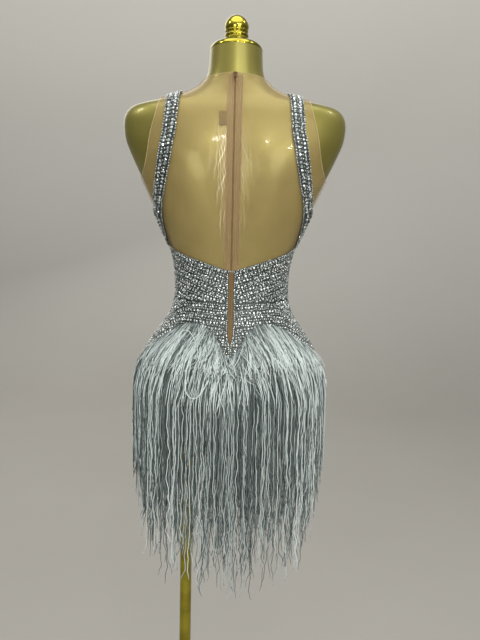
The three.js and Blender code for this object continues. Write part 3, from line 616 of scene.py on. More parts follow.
def bundle(
    centres: Array, radii: Union[Array, float], sides: int, level: Sequence[float]
) -> tuple[Array, list[Array], Array]:
    """Tubes along many paths at once.

    A tube's ring at a point of its path is centre + radius (cos a * w + sin a * n), where w is level
    crossed with the path's direction, and n is the direction crossed with w. Its ends are closed.

    Args:
        centres: paths as an array of tubes, points and coordinates.
        radii: the radius at each point of each path, or one for all.
        sides: sides of a tube.
        level: a direction that no path runs along.

    Returns:
        Points, faces, and each point's place round and along its tube in metres.
    """
    tubes, steps = centres.shape[:2]
    ahead = unit(np.gradient(centres, axis=1))
    wide = unit(np.cross(np.array(level), ahead))
    normal = np.cross(ahead, wide)
    angle = np.arange(sides) * (2 * math.pi / sides)
    ring = np.cos(angle)[:, None] * wide[:, :, None] + np.sin(angle)[:, None] * normal[:, :, None]
    points = centres[:, :, None] + np.broadcast_to(radii, (tubes, steps))[..., None, None] * ring
    start = (np.arange(tubes) * steps * sides)[:, None, None]
    walls = (start + grid_faces(steps, sides, closed=True)[None]).reshape(-1, 4)
    cap = np.arange(sides)[None]
    foot, head = start[:, 0] + cap[:, ::-1], start[:, 0] + (steps - 1) * sides + cap
    run = np.linalg.norm(np.diff(centres, axis=1), axis=-1).cumsum(axis=1)
    along = np.concatenate([np.zeros((tubes, 1)), run], axis=1) * MM
    place = np.stack(np.broadcast_arrays(angle[None, None] / 3.0, along[..., None]), axis=-1)
    return points.reshape(-1, 3), [walls, foot, head], place.reshape(-1, 2)


def dress(piece: Piece, material: Material, replaces: Sequence[str] = ()) -> Piece:
    """Gives a piece its material and the root to ride on, and hides its CAD nodes."""
    piece.data.materials.clear()
    piece.data.materials.append(material)
    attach(piece, ROOT)
    if replaces:
        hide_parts(*replaces)
    log.info("%s: %d faces", piece.name, len(piece.data.polygons))
    return piece


# ---- The form's surface ----


def smooth(column: Array, at: Array) -> Array:
    """Smooth value of a table's column at row numbers with fractions, by Catmull and Rom's cubic."""
    last = len(column) - 1
    i = np.clip(np.floor(at).astype(int), 0, last - 1)
    t = at - i
    a, b, c, d = (column[np.clip(i + k, 0, last)] for k in (-1, 0, 1, 2))
    return b + 0.5 * t * (c - a + t * (2 * a - 5 * b + 4 * c - d + t * (3 * (b - c) + d - a)))


class Outline:
    """An edge or a route: one number against another that only grows, through a short table."""

    def __init__(self, *rows: tuple[float, float]) -> None:
        """Samples the smooth curve through the rows."""
        table = np.array(rows, float)
        at = np.linspace(0, len(table) - 1, 4001)
        self.keys = smooth(table[:, 0], at)
        self.values = smooth(table[:, 1], at)

    def __call__(self, key: Array) -> Array:
        """The number at a key."""
        return np.interp(key, self.keys, self.values)


class Section(NamedTuple):
    """Level section of the form: half is its half width, and front, side and back are the Y of its
    front, of its widest place and of its back. square is the outline's exponent, 2 for an ellipse,
    and lean tips the section up towards the back."""

    z: float
    half: float
    front: float
    side: float
    back: float
    square: float
    lean: float


class Mound(NamedTuple):
    """Soft mound or hollow of the form on both sides of the middle: a bell of depth in Y."""

    front: bool
    depth: float
    x: float
    z: float
    wide: float
    tall: float


SECTIONS = tuple(
    Section(*row) for row in (
        (832.0, 60.0, -30, 8, 46, 2.2, 0), (832.0, 122.0, -68, 8, 90, 2.2, 0),
        (839.0, 139.0, -80, 8, 104, 2.2, 0), (856.0, 153.0, -87, 8, 112, 2.2, 0),
        (885.0, 163.0, -91, 8, 117, 2.2, 0), (930.0, 169.0, -96, 8, 119, 2.2, 0),
        (968.0, 166.0, -99, 8, 114, 2.2, 0), (1003.0, 157.0, -100, 7, 104, 2.2, 0),
        (1030.0, 143.0, -98, 6, 94, 2.2, 0), (1056.0, 124.0, -95, 4, 85, 2.2, 0),
        (1080.0, 109.0, -92, 2, 78, 2.2, 0), (1107.0, 101.0, -90, 0, 74, 2.2, 0),
        (1138.0, 99.5, -90, -1, 73, 2.2, 0), (1170.0, 102.5, -93, -1, 76, 2.2, 0),
        (1200.0, 110.0, -97, 0, 82, 2.2, 0), (1230.0, 123.0, -101, 1, 88, 2.2, 0),
        (1262.0, 136.5, -104, 2, 94, 2.2, 0), (1294.0, 150.0, -104, 3, 98, 2.2, 0),
        (1328.0, 166.0, -101, 4, 100, 2.2, 0), (1360.0, 181.0, -94, 5, 99, 2.2, 0),
        (1388.0, 192.5, -86, 6, 95, 2.2, 0), (1410.0, 196.5, -77, 6, 90, 2.2, 0),
        (1429.0, 195.5, -69, 7, 84, 2.2, 0.01), (1442.0, 188.5, -63, 7, 78, 2.2, 0.04),
        (1450.0, 177.0, -59, 7, 73, 2.2, 0.075), (1455.5, 158.0, -56, 6, 69, 2.2, 0.095),
        (1459.5, 135.0, -54, 6, 66, 2.2, 0.115), (1464.5, 112.0, -52, 5, 63, 2.15, 0.12),
        (1471.0, 90.0, -51, 4, 60, 2.1, 0.125), (1480.0, 70.0, -51, 2, 56, 2.05, 0.15),
        (1493.5, 55.5, -53, -1, 51, 2.0, 0.175), (1513.0, 48.5, -57, -5, 46, 2.0, 0.21),
        (1547.0, 46.5, -63, -13, 37, 2.0, 0.25),
    )
)
MOUNDS = (
    Mound(front=True, depth=26, x=72, z=1288, wide=39, tall=42),
    Mound(front=False, depth=6, x=76, z=1372, wide=36, tall=54),
    Mound(front=False, depth=-3, x=0, z=1290, wide=24, tall=95),
)
UNDERSIDE_Z = 832.0
SEAM = 0.3  # between two pieces that meet
SIDE = 90.0  # turn of the side
FRONT = 180.0  # turn of the middle of the front
SIDE_SEAM = 0.15  # half the turn between the back's and the front's pieces


class Torso:
    """The form's surface as a function of a section row and a turn."""

    def __init__(self) -> None:
        """Takes the sections apart into columns and tabulates the row at each height."""
        self.table = dict(zip(Section._fields, np.array(SECTIONS, float).T))
        self.top = len(SECTIONS) - 1
        self.widest = int(np.argmax(self.table["half"]))
        self._rows = np.linspace(0, self.top, 12001)
        self._heights = np.maximum.accumulate(smooth(self.table["z"], self._rows))

    def column(self, name: str, row: Array) -> Array:
        """A section measure at rows with fractions."""
        return smooth(self.table[name], np.clip(row, 0, self.top))

    def row_at(self, z: Array) -> Array:
        """The row of the section at a height."""
        return np.interp(z, self._heights, self._rows)

    def turn_at(self, z: Array, x: Array) -> Array:
        """The turn, 90 at most, at which the section at a height is x from the middle."""
        row = self.row_at(z)
        share = np.minimum(1.0, np.abs(x) / self.column("half", row))
        return np.degrees(np.arcsin(share ** (self.column("square", row) / 2)))

    def ridge_row(self, x: Array, turn: Array) -> Array:
        """The row near the shoulder's ridge where the form is x from the middle at a turn."""
        low = np.full(np.shape(x), float(self.widest))
        high = np.full(np.shape(x), float(self.top))
        sine = np.sin(np.radians(turn))
        for _ in range(HALVINGS):
            middle = (low + high) / 2
            wide = self.column("half", middle) * sine ** (2 / self.column("square", middle))
            low, high = np.where(wide > x, middle, low), np.where(wide > x, high, middle)
        return low

    def skin(self, row: Array, turn: Array) -> Array:
        """Point of the bare form: x = half * sin^p, y = side + reach * cos^p and the mounds, where p
        is 2 / square, and z is the section's own height raised by its lean."""
        row, turn = np.broadcast_arrays(np.clip(row, 0, self.top), turn)
        half, front, side, back = (self.column(name, row) for name in ("half", "front", "side", "back"))
        power = 2 / self.column("square", row)
        sine, cosine = np.sin(np.radians(turn)), np.cos(np.radians(turn))
        x = half * np.sign(sine) * np.abs(sine) ** power
        facing = np.sign(cosine) * np.abs(cosine) ** power
        z = np.maximum(self.column("z", row), UNDERSIDE_Z)
        level = side + np.where(facing > 0, back - side, side - front) * facing
        raised = sum(
            np.where((facing < 0) == m.front, m.depth, 0.0)
            * np.exp(-((np.abs(x) - m.x) ** 2) / (2 * m.wide**2) - (z - m.z) ** 2 / (2 * m.tall**2))
            for m in MOUNDS
        )
        y = level + np.sign(facing) * raised * np.abs(facing) ** 0.6
        return np.stack([x, y, z + self.column("lean", row) * (level - side)], -1)

    def normal(self, row: Array, turn: Array) -> Array:
        """The direction straight out of the form."""
        up = self.skin(row + 0.02, turn) - self.skin(row - 0.02, turn)
        across = self.skin(row, turn + 0.4) - self.skin(row, turn - 0.4)
        return unit(np.cross(up, across))

    def stand(self, row: Array, turn: Array, out: Array) -> Array:
        """Point that stands off the form by out."""
        row, turn, out = np.broadcast_arrays(row, turn, out)
        return self.skin(row, turn) + out[..., None] * self.normal(row, turn)


TORSO = Torso()


def from_back(turn: Array) -> Array:
    """How far a turn is from the middle of the back, to either side."""
    away = np.abs(turn)
    return np.minimum(away, 2 * FRONT - away)


class Patch(NamedTuple):
    """A grid of places on the form."""

    row: Array
    turn: Array

    @classmethod
    def at(cls, z: Array, turn: Array) -> "Patch":
        """The places at heights of the sections and at turns."""
        z, turn = np.broadcast_arrays(z, turn)
        return cls(TORSO.row_at(z), turn)

    def flipped(self) -> "Patch":
        """The same places on the other side of the middle."""
        return Patch(self.row, -self.turn)


@dataclass(frozen=True)
class Layer:
    """How far a cloth's inner and outer faces stand off the form."""

    inner: float
    outer: float


MESH_LAYER = Layer(2.4, 2.95)
GLITTER_LAYER = Layer(2.2, 3.4)
BRIEF_LAYER = Layer(2.3, 3.0)
STRAP_LAYER = Layer(4.1, 5.1)
TAPE_LAYER = Layer(1.0, 1.8)
LABEL_LAYER = Layer(3.35, 3.95)

STRETCH = 1.12  # the area of worn stretch cloth to its flat area
WOVEN = 1.0  # the same for the tapes and the label, which don't stretch
LEAST_FILL = 0.31  # the least share of its own width times length that a flat piece covers
THREAD_LEVEL = (0.21, 0.13, 0.97)
THREAD_TONE = 0.95


def cloth_panel(
    name: str,
    patch: Patch,
    layer: Layer,
    folds: Optional[Array] = None,
    values: Optional[dict[str, Array]] = None,
    stretch: float = STRETCH,
) -> Piece:
    """A wall of cloth on the form, with its place on the cloth as its UV map.

    Args:
        name: the piece's name.
        patch: the grid of places that it covers.
        layer: how far its faces stand off the form.
        folds: how much further each place stands off.
        values: named numbers for the places.
        stretch: its worn area to its flat area.

    Returns:
        The piece, with its flat size kept under "cut" as width, length and area in metres.
    """
    lift = np.zeros(patch.row.shape) if folds is None else folds
    outer = TORSO.stand(patch.row, patch.turn, layer.outer + lift)
    inner = TORSO.stand(patch.row, patch.turn, layer.inner + lift)
    points, faces = wall(outer, inner)
    step_x = np.linalg.norm(np.diff(outer, axis=1), axis=-1)
    step_y = np.linalg.norm(np.diff(outer, axis=0), axis=-1)
    across = np.concatenate([np.zeros((len(outer), 1)), step_x.cumsum(axis=1)], axis=1)
    along = np.concatenate([np.zeros((1, outer.shape[1])), step_y.cumsum(axis=0)], axis=0)
    place = np.stack([across, along], -1).reshape(-1, 2) * MM
    doubled = {word: np.tile(numbers.ravel(), 2) for word, numbers in (values or {}).items()}
    piece = fill_mesh(name, points, faces, Facets.CREASED, np.tile(place, (2, 1)), doubled)
    cross = np.cross(outer[1:, 1:] - outer[:-1, :-1], outer[1:, :-1] - outer[:-1, 1:])
    area = float(np.linalg.norm(cross, axis=-1).sum()) / 2 * MM * MM / stretch
    width, length = (float(run.max()) * MM / math.sqrt(stretch) for run in (across[:, -1], along[-1]))
    piece["cut"] = [width, max(length, 1.02 * area / width), area]
    return piece


def declare_sheet(piece: Piece, rests_on: Sequence[Piece], **more: object) -> None:
    """Takes off a cloth panel the flat size that it was cut to."""
    width, length, area = piece["cut"]
    del piece["cut"]
    area = max(area, LEAST_FILL * width * length)


def tubes(
    name: str,
    centres: Array,
    radii: Union[Array, float],
    sides: int,
    level: Sequence[float],
    tone: Optional[Array] = None,
) -> Piece:
    """Tubes as in bundle, as one piece that may have a tone at each point of its paths."""
    points, faces, place = bundle(centres, radii, sides, level)
    values = {} if tone is None else {"tone": np.repeat(tone.ravel(), sides)}
    return fill_mesh(name, points, faces, cloth=place, values=values)


def thread(name: str, path: Array, radius: float, sides: int = 6) -> Piece:
    """One round thread or edging along a path."""
    return tubes(name, path[None], radius, sides, THREAD_LEVEL, np.full(len(path), THREAD_TONE))


# ---- The dress form ----


@dataclass
class DressForm:
    """The glossy limbless form, its neck cap and its knob."""

    rows: int = 160
    columns: int = 128
    cap_radius: float = 46.8
    cap_height: float = 14.5
    cap_depth_ratio: float = 1.08
    knob_radius: float = 21.3
    knob_height: float = 52.0
    sides: int = 64

    def body(self) -> Piece:
        """The form's closed surface, with a flat underside and neck."""
        row = np.linspace(0, TORSO.top, self.rows + 1)[:, None]
        turn = (np.arange(self.columns) * 360.0 / self.columns)[None]
        rings = TORSO.skin(row, turn)
        points, faces = capped(rings, rings[0].mean(axis=0), rings[-1].mean(axis=0))
        return fill_mesh("form_skin", points, faces, Facets.CREASED)

    def on_neck(self, name: str, profile: Profile, deep: float, lift: float) -> Piece:
        """A turned piece on the tipped top of the neck, deep times as deep as it is wide."""
        points, faces = spun(profile, self.sides)
        points = points * np.array([1.0, deep, 1.0]) + np.array([0.0, 0.0, lift])
        neck = SECTIONS[-1]
        tip = math.atan(neck.lean)
        y, z = points[:, 1].copy(), points[:, 2].copy()
        points[:, 1] = neck.side + y * math.cos(tip) - z * math.sin(tip)
        points[:, 2] = neck.z + y * math.sin(tip) + z * math.cos(tip)
        return fill_mesh(name, points, faces, Facets.CREASED)

    def cap(self) -> Piece:
        """Low dome that closes the neck, with a small bead at its rim."""
        r, h = self.cap_radius, self.cap_height
        rim = [(0, 0), (r - 0.8, 0), (r - 0.2, 0.3), (r, 1.0), (r - 0.15, 2.2)]
        bend = [(r - 0.35, 3.2), (r - 1.1, 5.2), (r - 2.8, 7.8), (r - 6.5, 10.6), (r - 15, h - 1.1)]
        dome = rounded(bend, 4)
        foot = [(self.knob_radius + 2.4, h - 0.1), (self.knob_radius + 1.6, h), (0, h)]
        return self.on_neck("cap_dome", rim + dome + foot, self.cap_depth_ratio, SEAM)

    def knob(self) -> Piece:
        """Turned knob: a plain foot, fine beads and grooves, and an egg-shaped head."""
        r, h = self.knob_radius, self.knob_height
        foot = [(0, 0), (r - 0.7, 0), (r - 0.1, 0.5), (r, 1.5), (r - 0.3, 8.5)]
        beads = [
            (r - 0.4, 9.0), (r - 1.6, 10.2), (r - 0.5, 11.6), (r - 0.3, 14.2), (r - 1.1, 16.0),
            (r - 2.6, 17.6), (r - 2.5, 18.8), (r - 1.0, 20.1), (r - 0.8, 21.8), (r - 1.9, 23.0),
            (r - 1.3, 23.9), (r - 0.9, 25.2), (r - 0.1, 27.5), (r, 30.5), (r - 0.9, 35.0),
            (r - 2.8, 39.4), (r - 6.0, 44.0), (r - 10.5, 47.9), (r - 15.5, 50.8), (r - 19.5, h - 0.1),
        ]
        profile = foot + rounded(beads, 3) + [(0, h)]
        return self.on_neck("knob_turned", profile, 1.0, self.cap_height + 2 * SEAM)

    def build(self) -> Piece:
        """Makes and dresses the form, the cap and the knob, and returns the form."""
        skin = dress(self.body(), SatinGold().material(), ["form_torso"])
        gold = BrightGold().material()
        dress(self.cap(), gold, ["neck_cap"])
        dress(self.knob(), gold, ["neck_knob"])
        return skin


@dataclass
class PoleStand:
    """The polished pole, its collar and socket, and the round base."""

    pole_x: float = 77.5
    pole_y: float = 8.0
    pole_radius: float = 11.0
    pole_ease: float = 0.5
    collar_radius: float = 24.0
    collar_height: float = 12.0
    collar_ease: float = 2.0
    socket_radius: float = 22.0
    socket_height: float = 34.0
    socket_ease: float = 4.0
    base_radius: float = 150.0
    base_height: float = 8.0
    sides: int = 72

    def ring(self, radius: float, low: float, high: float, ease: float) -> Solid:
        """A ring round the pole: its profile goes up the bore and back down the eased outside."""
        bore = self.pole_radius + SEAM
        corner = [(math.cos(a), math.sin(a)) for a in np.radians(np.linspace(0, 90, 6))]
        top = [(radius - ease + ease * c, high - ease + ease * s) for c, s in corner]
        foot = [(radius - ease + ease * c, low + ease - ease * s) for c, s in corner]
        profile = np.array([(bore, low), (bore, high), *top[::-1], *foot], float)
        points = rings_round(profile, self.sides).reshape(-1, 3)
        wrapped = grid_faces(len(profile) + 1, self.sides, closed=True) % len(points)
        return points, outward(points, [wrapped])

    def pole(self, low: float, high: float) -> Solid:
        """The pole, with its ends eased."""
        r, ease = self.pole_radius, self.pole_ease
        side = [(r - ease, low), (r, low + ease), (r, high - ease), (r - ease, high)]
        return spun([(0, low), *side, (0, high)], self.sides)

    def base(self) -> Solid:
        """The round base with its crowned rim."""
        r, h = self.base_radius, self.base_height
        plate = [(0, 0), (r - 1.2, 0), (r - 0.3, 0.4), (r, 1.3), (r, h - 3.0)]
        crown = rounded([(r - 0.3, h - 1.8), (r - 1.2, h - 0.7), (r - 2.6, h - 0.1), (r - 6.0, h)], 3)
        return spun([*plate, *crown, (0, h)], self.sides)

    def build(self) -> None:
        """Makes and dresses the four pieces."""
        gold = bpy.data.materials["bright_gold"]
        foot, head = self.base_height + SEAM, UNDERSIDE_Z - SEAM
        collar = self.ring(self.collar_radius, head - self.collar_height, head, self.collar_ease)
        socket = self.ring(self.socket_radius, foot, foot + self.socket_height, self.socket_ease)
        at_pole = (self.pole_x, self.pole_y, 0.0)
        pieces = (
            ("pole_tube", "stand_pole", self.pole(foot, head), at_pole),
            ("collar_ring", "stand_collar", collar, at_pole),
            ("socket_ring", "stand_socket", socket, at_pole),
            ("base_plate", "stand_base", self.base(), (0.0, 0.0, 0.0)),
        )
        for name, node, (points, faces), middle in pieces:
            piece = fill_mesh(name, points + np.array(middle), faces, Facets.CREASED)
            dress(piece, gold, [node])


# ---- The cut of the bodysuit ----

NECKLINE = Outline((0, 1498.3), (45, 1495), (90, 1487.5), (135, 1483.5), (180, 1480))
GLITTER_TOP = Outline(
    (0, 1168), (6, 1171), (19, 1179), (34, 1187), (54, 1196), (66, 1201), (76, 1207), (90, 1213)
)
BODICE_TOP = Outline(
    (90, 1262), (105, 1272), (120, 1290), (135, 1308), (146, 1314), (156, 1308), (168, 1290), (180, 1276)
)
FRINGE_LINE = Outline(
    (0, 1014), (5, 1028), (9, 1048), (15, 1061), (23, 1069), (34, 1071), (44, 1067), (52, 1056),
    (60, 1043), (76, 1014), (90, 992), (112, 994), (140, 1006), (180, 1002),
)
LOWER_FRINGE_LINE = Outline((0, 972), (22, 998), (46, 996), (70, 978), (90, 966), (135, 962), (180, 960))
LEG_LINE = Outline(
    (0, 866), (12, 867), (24, 886), (40, 912), (60, 932), (90, 944), (118, 938), (140, 912), (158, 884),
    (169, 867), (180, 866),
)
FRINGE_HEM = Outline(
    (0, 566), (30, 586), (49, 640), (58, 688), (74, 756), (90, 800), (106, 756), (122, 688), (131, 640),
    (150, 586), (180, 570),
)
SHOULDER_X = 128.0
BACK_ARMHOLE = Outline(
    (1168, 170), (1310, 163), (1317, 161.5), (1321, 161.5), (1328, 160), (1340, 155.5), (1360, 150),
    (1401, 143.5), (1424, 138), (1437, 134.5), (1449, 131), (1461, SHOULDER_X), (1510, SHOULDER_X),
)
FRONT_ARMHOLE = Outline(
    (1168, 170), (1310, 163), (1317, 161.5), (1321, 161.5), (1328, 160.5), (1338, 156.5), (1354, 148),
    (1376, 137), (1402, 129), (1430, 124.5), (1446, 125.5), (1461, SHOULDER_X), (1510, SHOULDER_X),
)
ARM_LOW = 1317.0
ARM_HIGH = 1461.0
ZIP_TOP = 1494.5
ZIP_END = 1034.0
TAPE_HALF = 13.0
GAP_HALF = 4.6
GAP_TAPER = 22.0


def zip_gap(z: Array) -> Array:
    """Half width, at a height, of the gap over the zip between the glitter back panels."""
    return SEAM + (GAP_HALF - SEAM) * np.clip((z - ZIP_END) / GAP_TAPER, 0, 1)


def mesh_heights(low: Array, high: Array, below: int, beside: int, above: int) -> Array:
    """Heights of a mesh panel's rows for each of its columns: even up to the armhole, along it, and
    on to the neckline."""
    lower = low + (ARM_LOW - low) * (np.arange(below) / below)[:, None]
    share = (np.arange(beside) / beside)[:, None]
    middle = ARM_LOW + (ARM_HIGH - ARM_LOW) * np.sin(share * math.pi / 2) * np.ones_like(low)
    upper = ARM_HIGH + (high - ARM_HIGH) * np.linspace(0, 1, above + 1)[:, None]
    return np.concatenate([lower, middle, upper])


# ---- The sheer mesh ----


class Crease(NamedTuple):
    """A soft ridge in the mesh beside the zip: its distance from the middle at its top and at its
    foot, its height and width, the heights where it ends and starts, and how much it crinkles,
    which also sets how much the mesh gathers there and how bright the painted highlight on its crest is."""

    near: float
    far: float
    high: float
    wide: float
    low: float
    top: float
    crinkle: float


@dataclass
class SheerMesh:
    """The nude mesh back and yoke, with their rolled edges."""

    near_turn: float = 15.0
    near_columns: int = 62
    far_columns: int = 30
    yoke_columns: int = 40
    below: int = 44
    beside: int = 84
    above: int = 14
    slot_half: float = 1.7
    edge_radius: float = 0.5
    edge_lift: float = -0.2
    zip_turn: float = 2.2
    ripple: float = 0.5
    # Creases that run down the left back panel beside the zip, and fainter ones on the right.
    creases: tuple = (
        Crease(14.5, 15.5, 0.8, 0.6, 1290, 1437, 0.9), Crease(17, 19, 0.8, 0.55, 1262, 1420, 1.0),
        Crease(19.5, 23, 0.8, 0.6, 1300, 1432, 1.0), Crease(23, 27, 0.7, 0.6, 1280, 1424, 0.8),
        Crease(26, 33, 0.6, 0.8, 1320, 1430, 0.6), Crease(31, 44, 0.45, 1.4, 1330, 1440, 0.3),
        Crease(14, 14.5, 0.6, 0.6, 1200, 1310, 0.5), Crease(20, 21, 0.5, 0.7, 1225, 1290, 0.5),
        Crease(45, 70, 0.35, 2.2, 1340, 1450, 0.1),
    )
    right_share: float = 0.4
    # Soft ridges in the yoke, that spread from the neckline down to the bodice on both sides.
    yoke_creases: tuple = (
        Crease(14, 24, 0.9, 4.5, 1296, 1430, 0.3), Crease(34, 58, 1.1, 5.0, 1312, 1452, 0.3),
        Crease(50, 84, 0.9, 5.5, 1318, 1440, 0.2), Crease(66, 104, 0.7, 6.0, 1322, 1420, 0.2),
    )

    def back_patch(self) -> Patch:
        """Places of the left back panel, from the zip to the armhole."""
        near = np.linspace(0, self.near_turn, self.near_columns + 1)
        far = np.linspace(self.near_turn, SIDE, self.far_columns + 1)
        column = np.concatenate([near, far[1:]])[None]
        rows = (self.below, self.beside, self.above)
        z = mesh_heights(GLITTER_TOP(column) + SEAM, NECKLINE(column), *rows)
        edge = np.minimum(TORSO.turn_at(z, BACK_ARMHOLE(z)), SIDE - SIDE_SEAM)
        start = TORSO.turn_at(z, self.slot_half)
        return Patch.at(z, start + (edge - start) * column / SIDE)

    def front_patch(self) -> Patch:
        """Places of the yoke, from the left armhole over the middle to the right one."""
        half = np.linspace(SIDE, FRONT, self.yoke_columns + 1)
        column = np.concatenate([half, half[-2::-1]])[None]
        rows = (count // 3 for count in (self.below, self.beside, self.above))
        z = mesh_heights(BODICE_TOP(column) + SEAM, NECKLINE(column), *rows)
        edge = np.minimum(TORSO.turn_at(z, FRONT_ARMHOLE(z)), SIDE - SIDE_SEAM)
        turn = FRONT - edge + edge * (column - SIDE) / SIDE
        right = np.arange(column.size)[None] > self.yoke_columns
        return Patch.at(z, np.where(right, 2 * FRONT - turn, turn))

    def creased(self, patch: Patch, hand: float, creases: Sequence[Crease]) -> tuple[Array, Array]:
        """Lift and gathering of the creases, the gathering also setting their painted highlight: a bell
        across each crease, which fades at its ends by a sine and whose middle wanders by two sines of the
        height."""
        z = TORSO.column("z", patch.row)
        x = np.abs(TORSO.skin(patch.row, patch.turn)[..., 0])
        lift, gather = np.zeros(z.shape), np.zeros(z.shape)
        for k, crease in enumerate(creases):
            share = np.clip((crease.top - z) / (crease.top - crease.low), 0, 1)
            wander = np.sin(z / 3.7 + 2.1 * k + hand) + 0.7 * np.sin(z / 8.3 + k)
            centre = crease.near + (crease.far - crease.near) * share**1.4 + crease.crinkle * wander
            fade = np.sin(math.pi * share) ** 0.7 * (0.75 + 0.25 * np.sin(z / 11.0 + k))
            bell = np.exp(-((x - centre) ** 2) / (2 * crease.wide**2)) * fade
            lift += crease.high * bell
            gather += crease.crinkle * bell
        strength = 1.0 if hand > 0 else self.right_share
        return strength * lift, np.clip(strength * gather, 0, 1)

    def rolled_edge(self, name: str, row: Array, turn: Array) -> Piece:
        """A thin rolled edge along the cloth, with small uneven ripples."""
        run = np.arange(row.size)
        wave = np.sin(run * 0.9) + 0.6 * np.sin(run * 0.37 + 1.0)
        path = TORSO.stand(row, turn, MESH_LAYER.outer + self.edge_lift + self.ripple * 0.5 * wave)
        path[:, 2] += self.ripple * 0.6 * np.cos(run * 0.71)
        return thread(name, path, self.edge_radius)

    def neck_edge(self) -> Piece:
        """The neckline's rolled edge, from the zip round the front and back to the zip."""
        turn = np.linspace(self.zip_turn, 2 * FRONT - self.zip_turn, 560)
        return self.rolled_edge("neck_edge", TORSO.row_at(NECKLINE(from_back(turn))), turn)

    def arm_edge(self, name: str, hand: float) -> Piece:
        """An armhole's rolled edge, up its back, over the shoulder and down its front."""
        up = ARM_LOW + (ARM_HIGH - ARM_LOW) * np.sin(np.linspace(0.02, 1, 110) * math.pi / 2)
        back = np.minimum(TORSO.turn_at(up, BACK_ARMHOLE(up)), SIDE)
        front = FRONT - np.minimum(TORSO.turn_at(up, FRONT_ARMHOLE(up)), SIDE)
        z, turn = np.concatenate([up, up[::-1]]), np.concatenate([back, front[::-1]])
        return self.rolled_edge(name, TORSO.row_at(z), hand * turn)

    def build(self, form: Piece) -> None:
        """Makes and dresses the three panels and their edges."""
        cloth = NudeMesh().material()
        edging = WovenTape("edge_binding", light=(0.5, 0.4, 0.2), dark=(0.4, 0.3, 0.14), pitch=1.0).material()
        arms = self.arm_edge("arm_edge_left", 1.0), self.arm_edge("arm_edge_right", -1.0)
        left = self.back_patch()
        panels = (
            ("back_mesh_left", "mesh_back_left", left, 1.0, self.creases, arms[0]),
            ("back_mesh_right", "mesh_back_right", left.flipped(), -1.0, self.creases, arms[1]),
            ("front_yoke", "mesh_front", self.front_patch(), 1.0, self.yoke_creases, self.neck_edge()),
        )
        for name, node, patch, hand, creases, edge in panels:
            # The gathering also carries the painted highlight on the creases' crests.
            lift, gather = self.creased(patch, hand, creases)
            panel = cloth_panel(name, patch, MESH_LAYER, lift, {"gather": gather})
            dress(panel, cloth, [node])
            declare_sheet(panel, [form], with_pieces=[dress(edge, edging)])


# ---- The zip ----


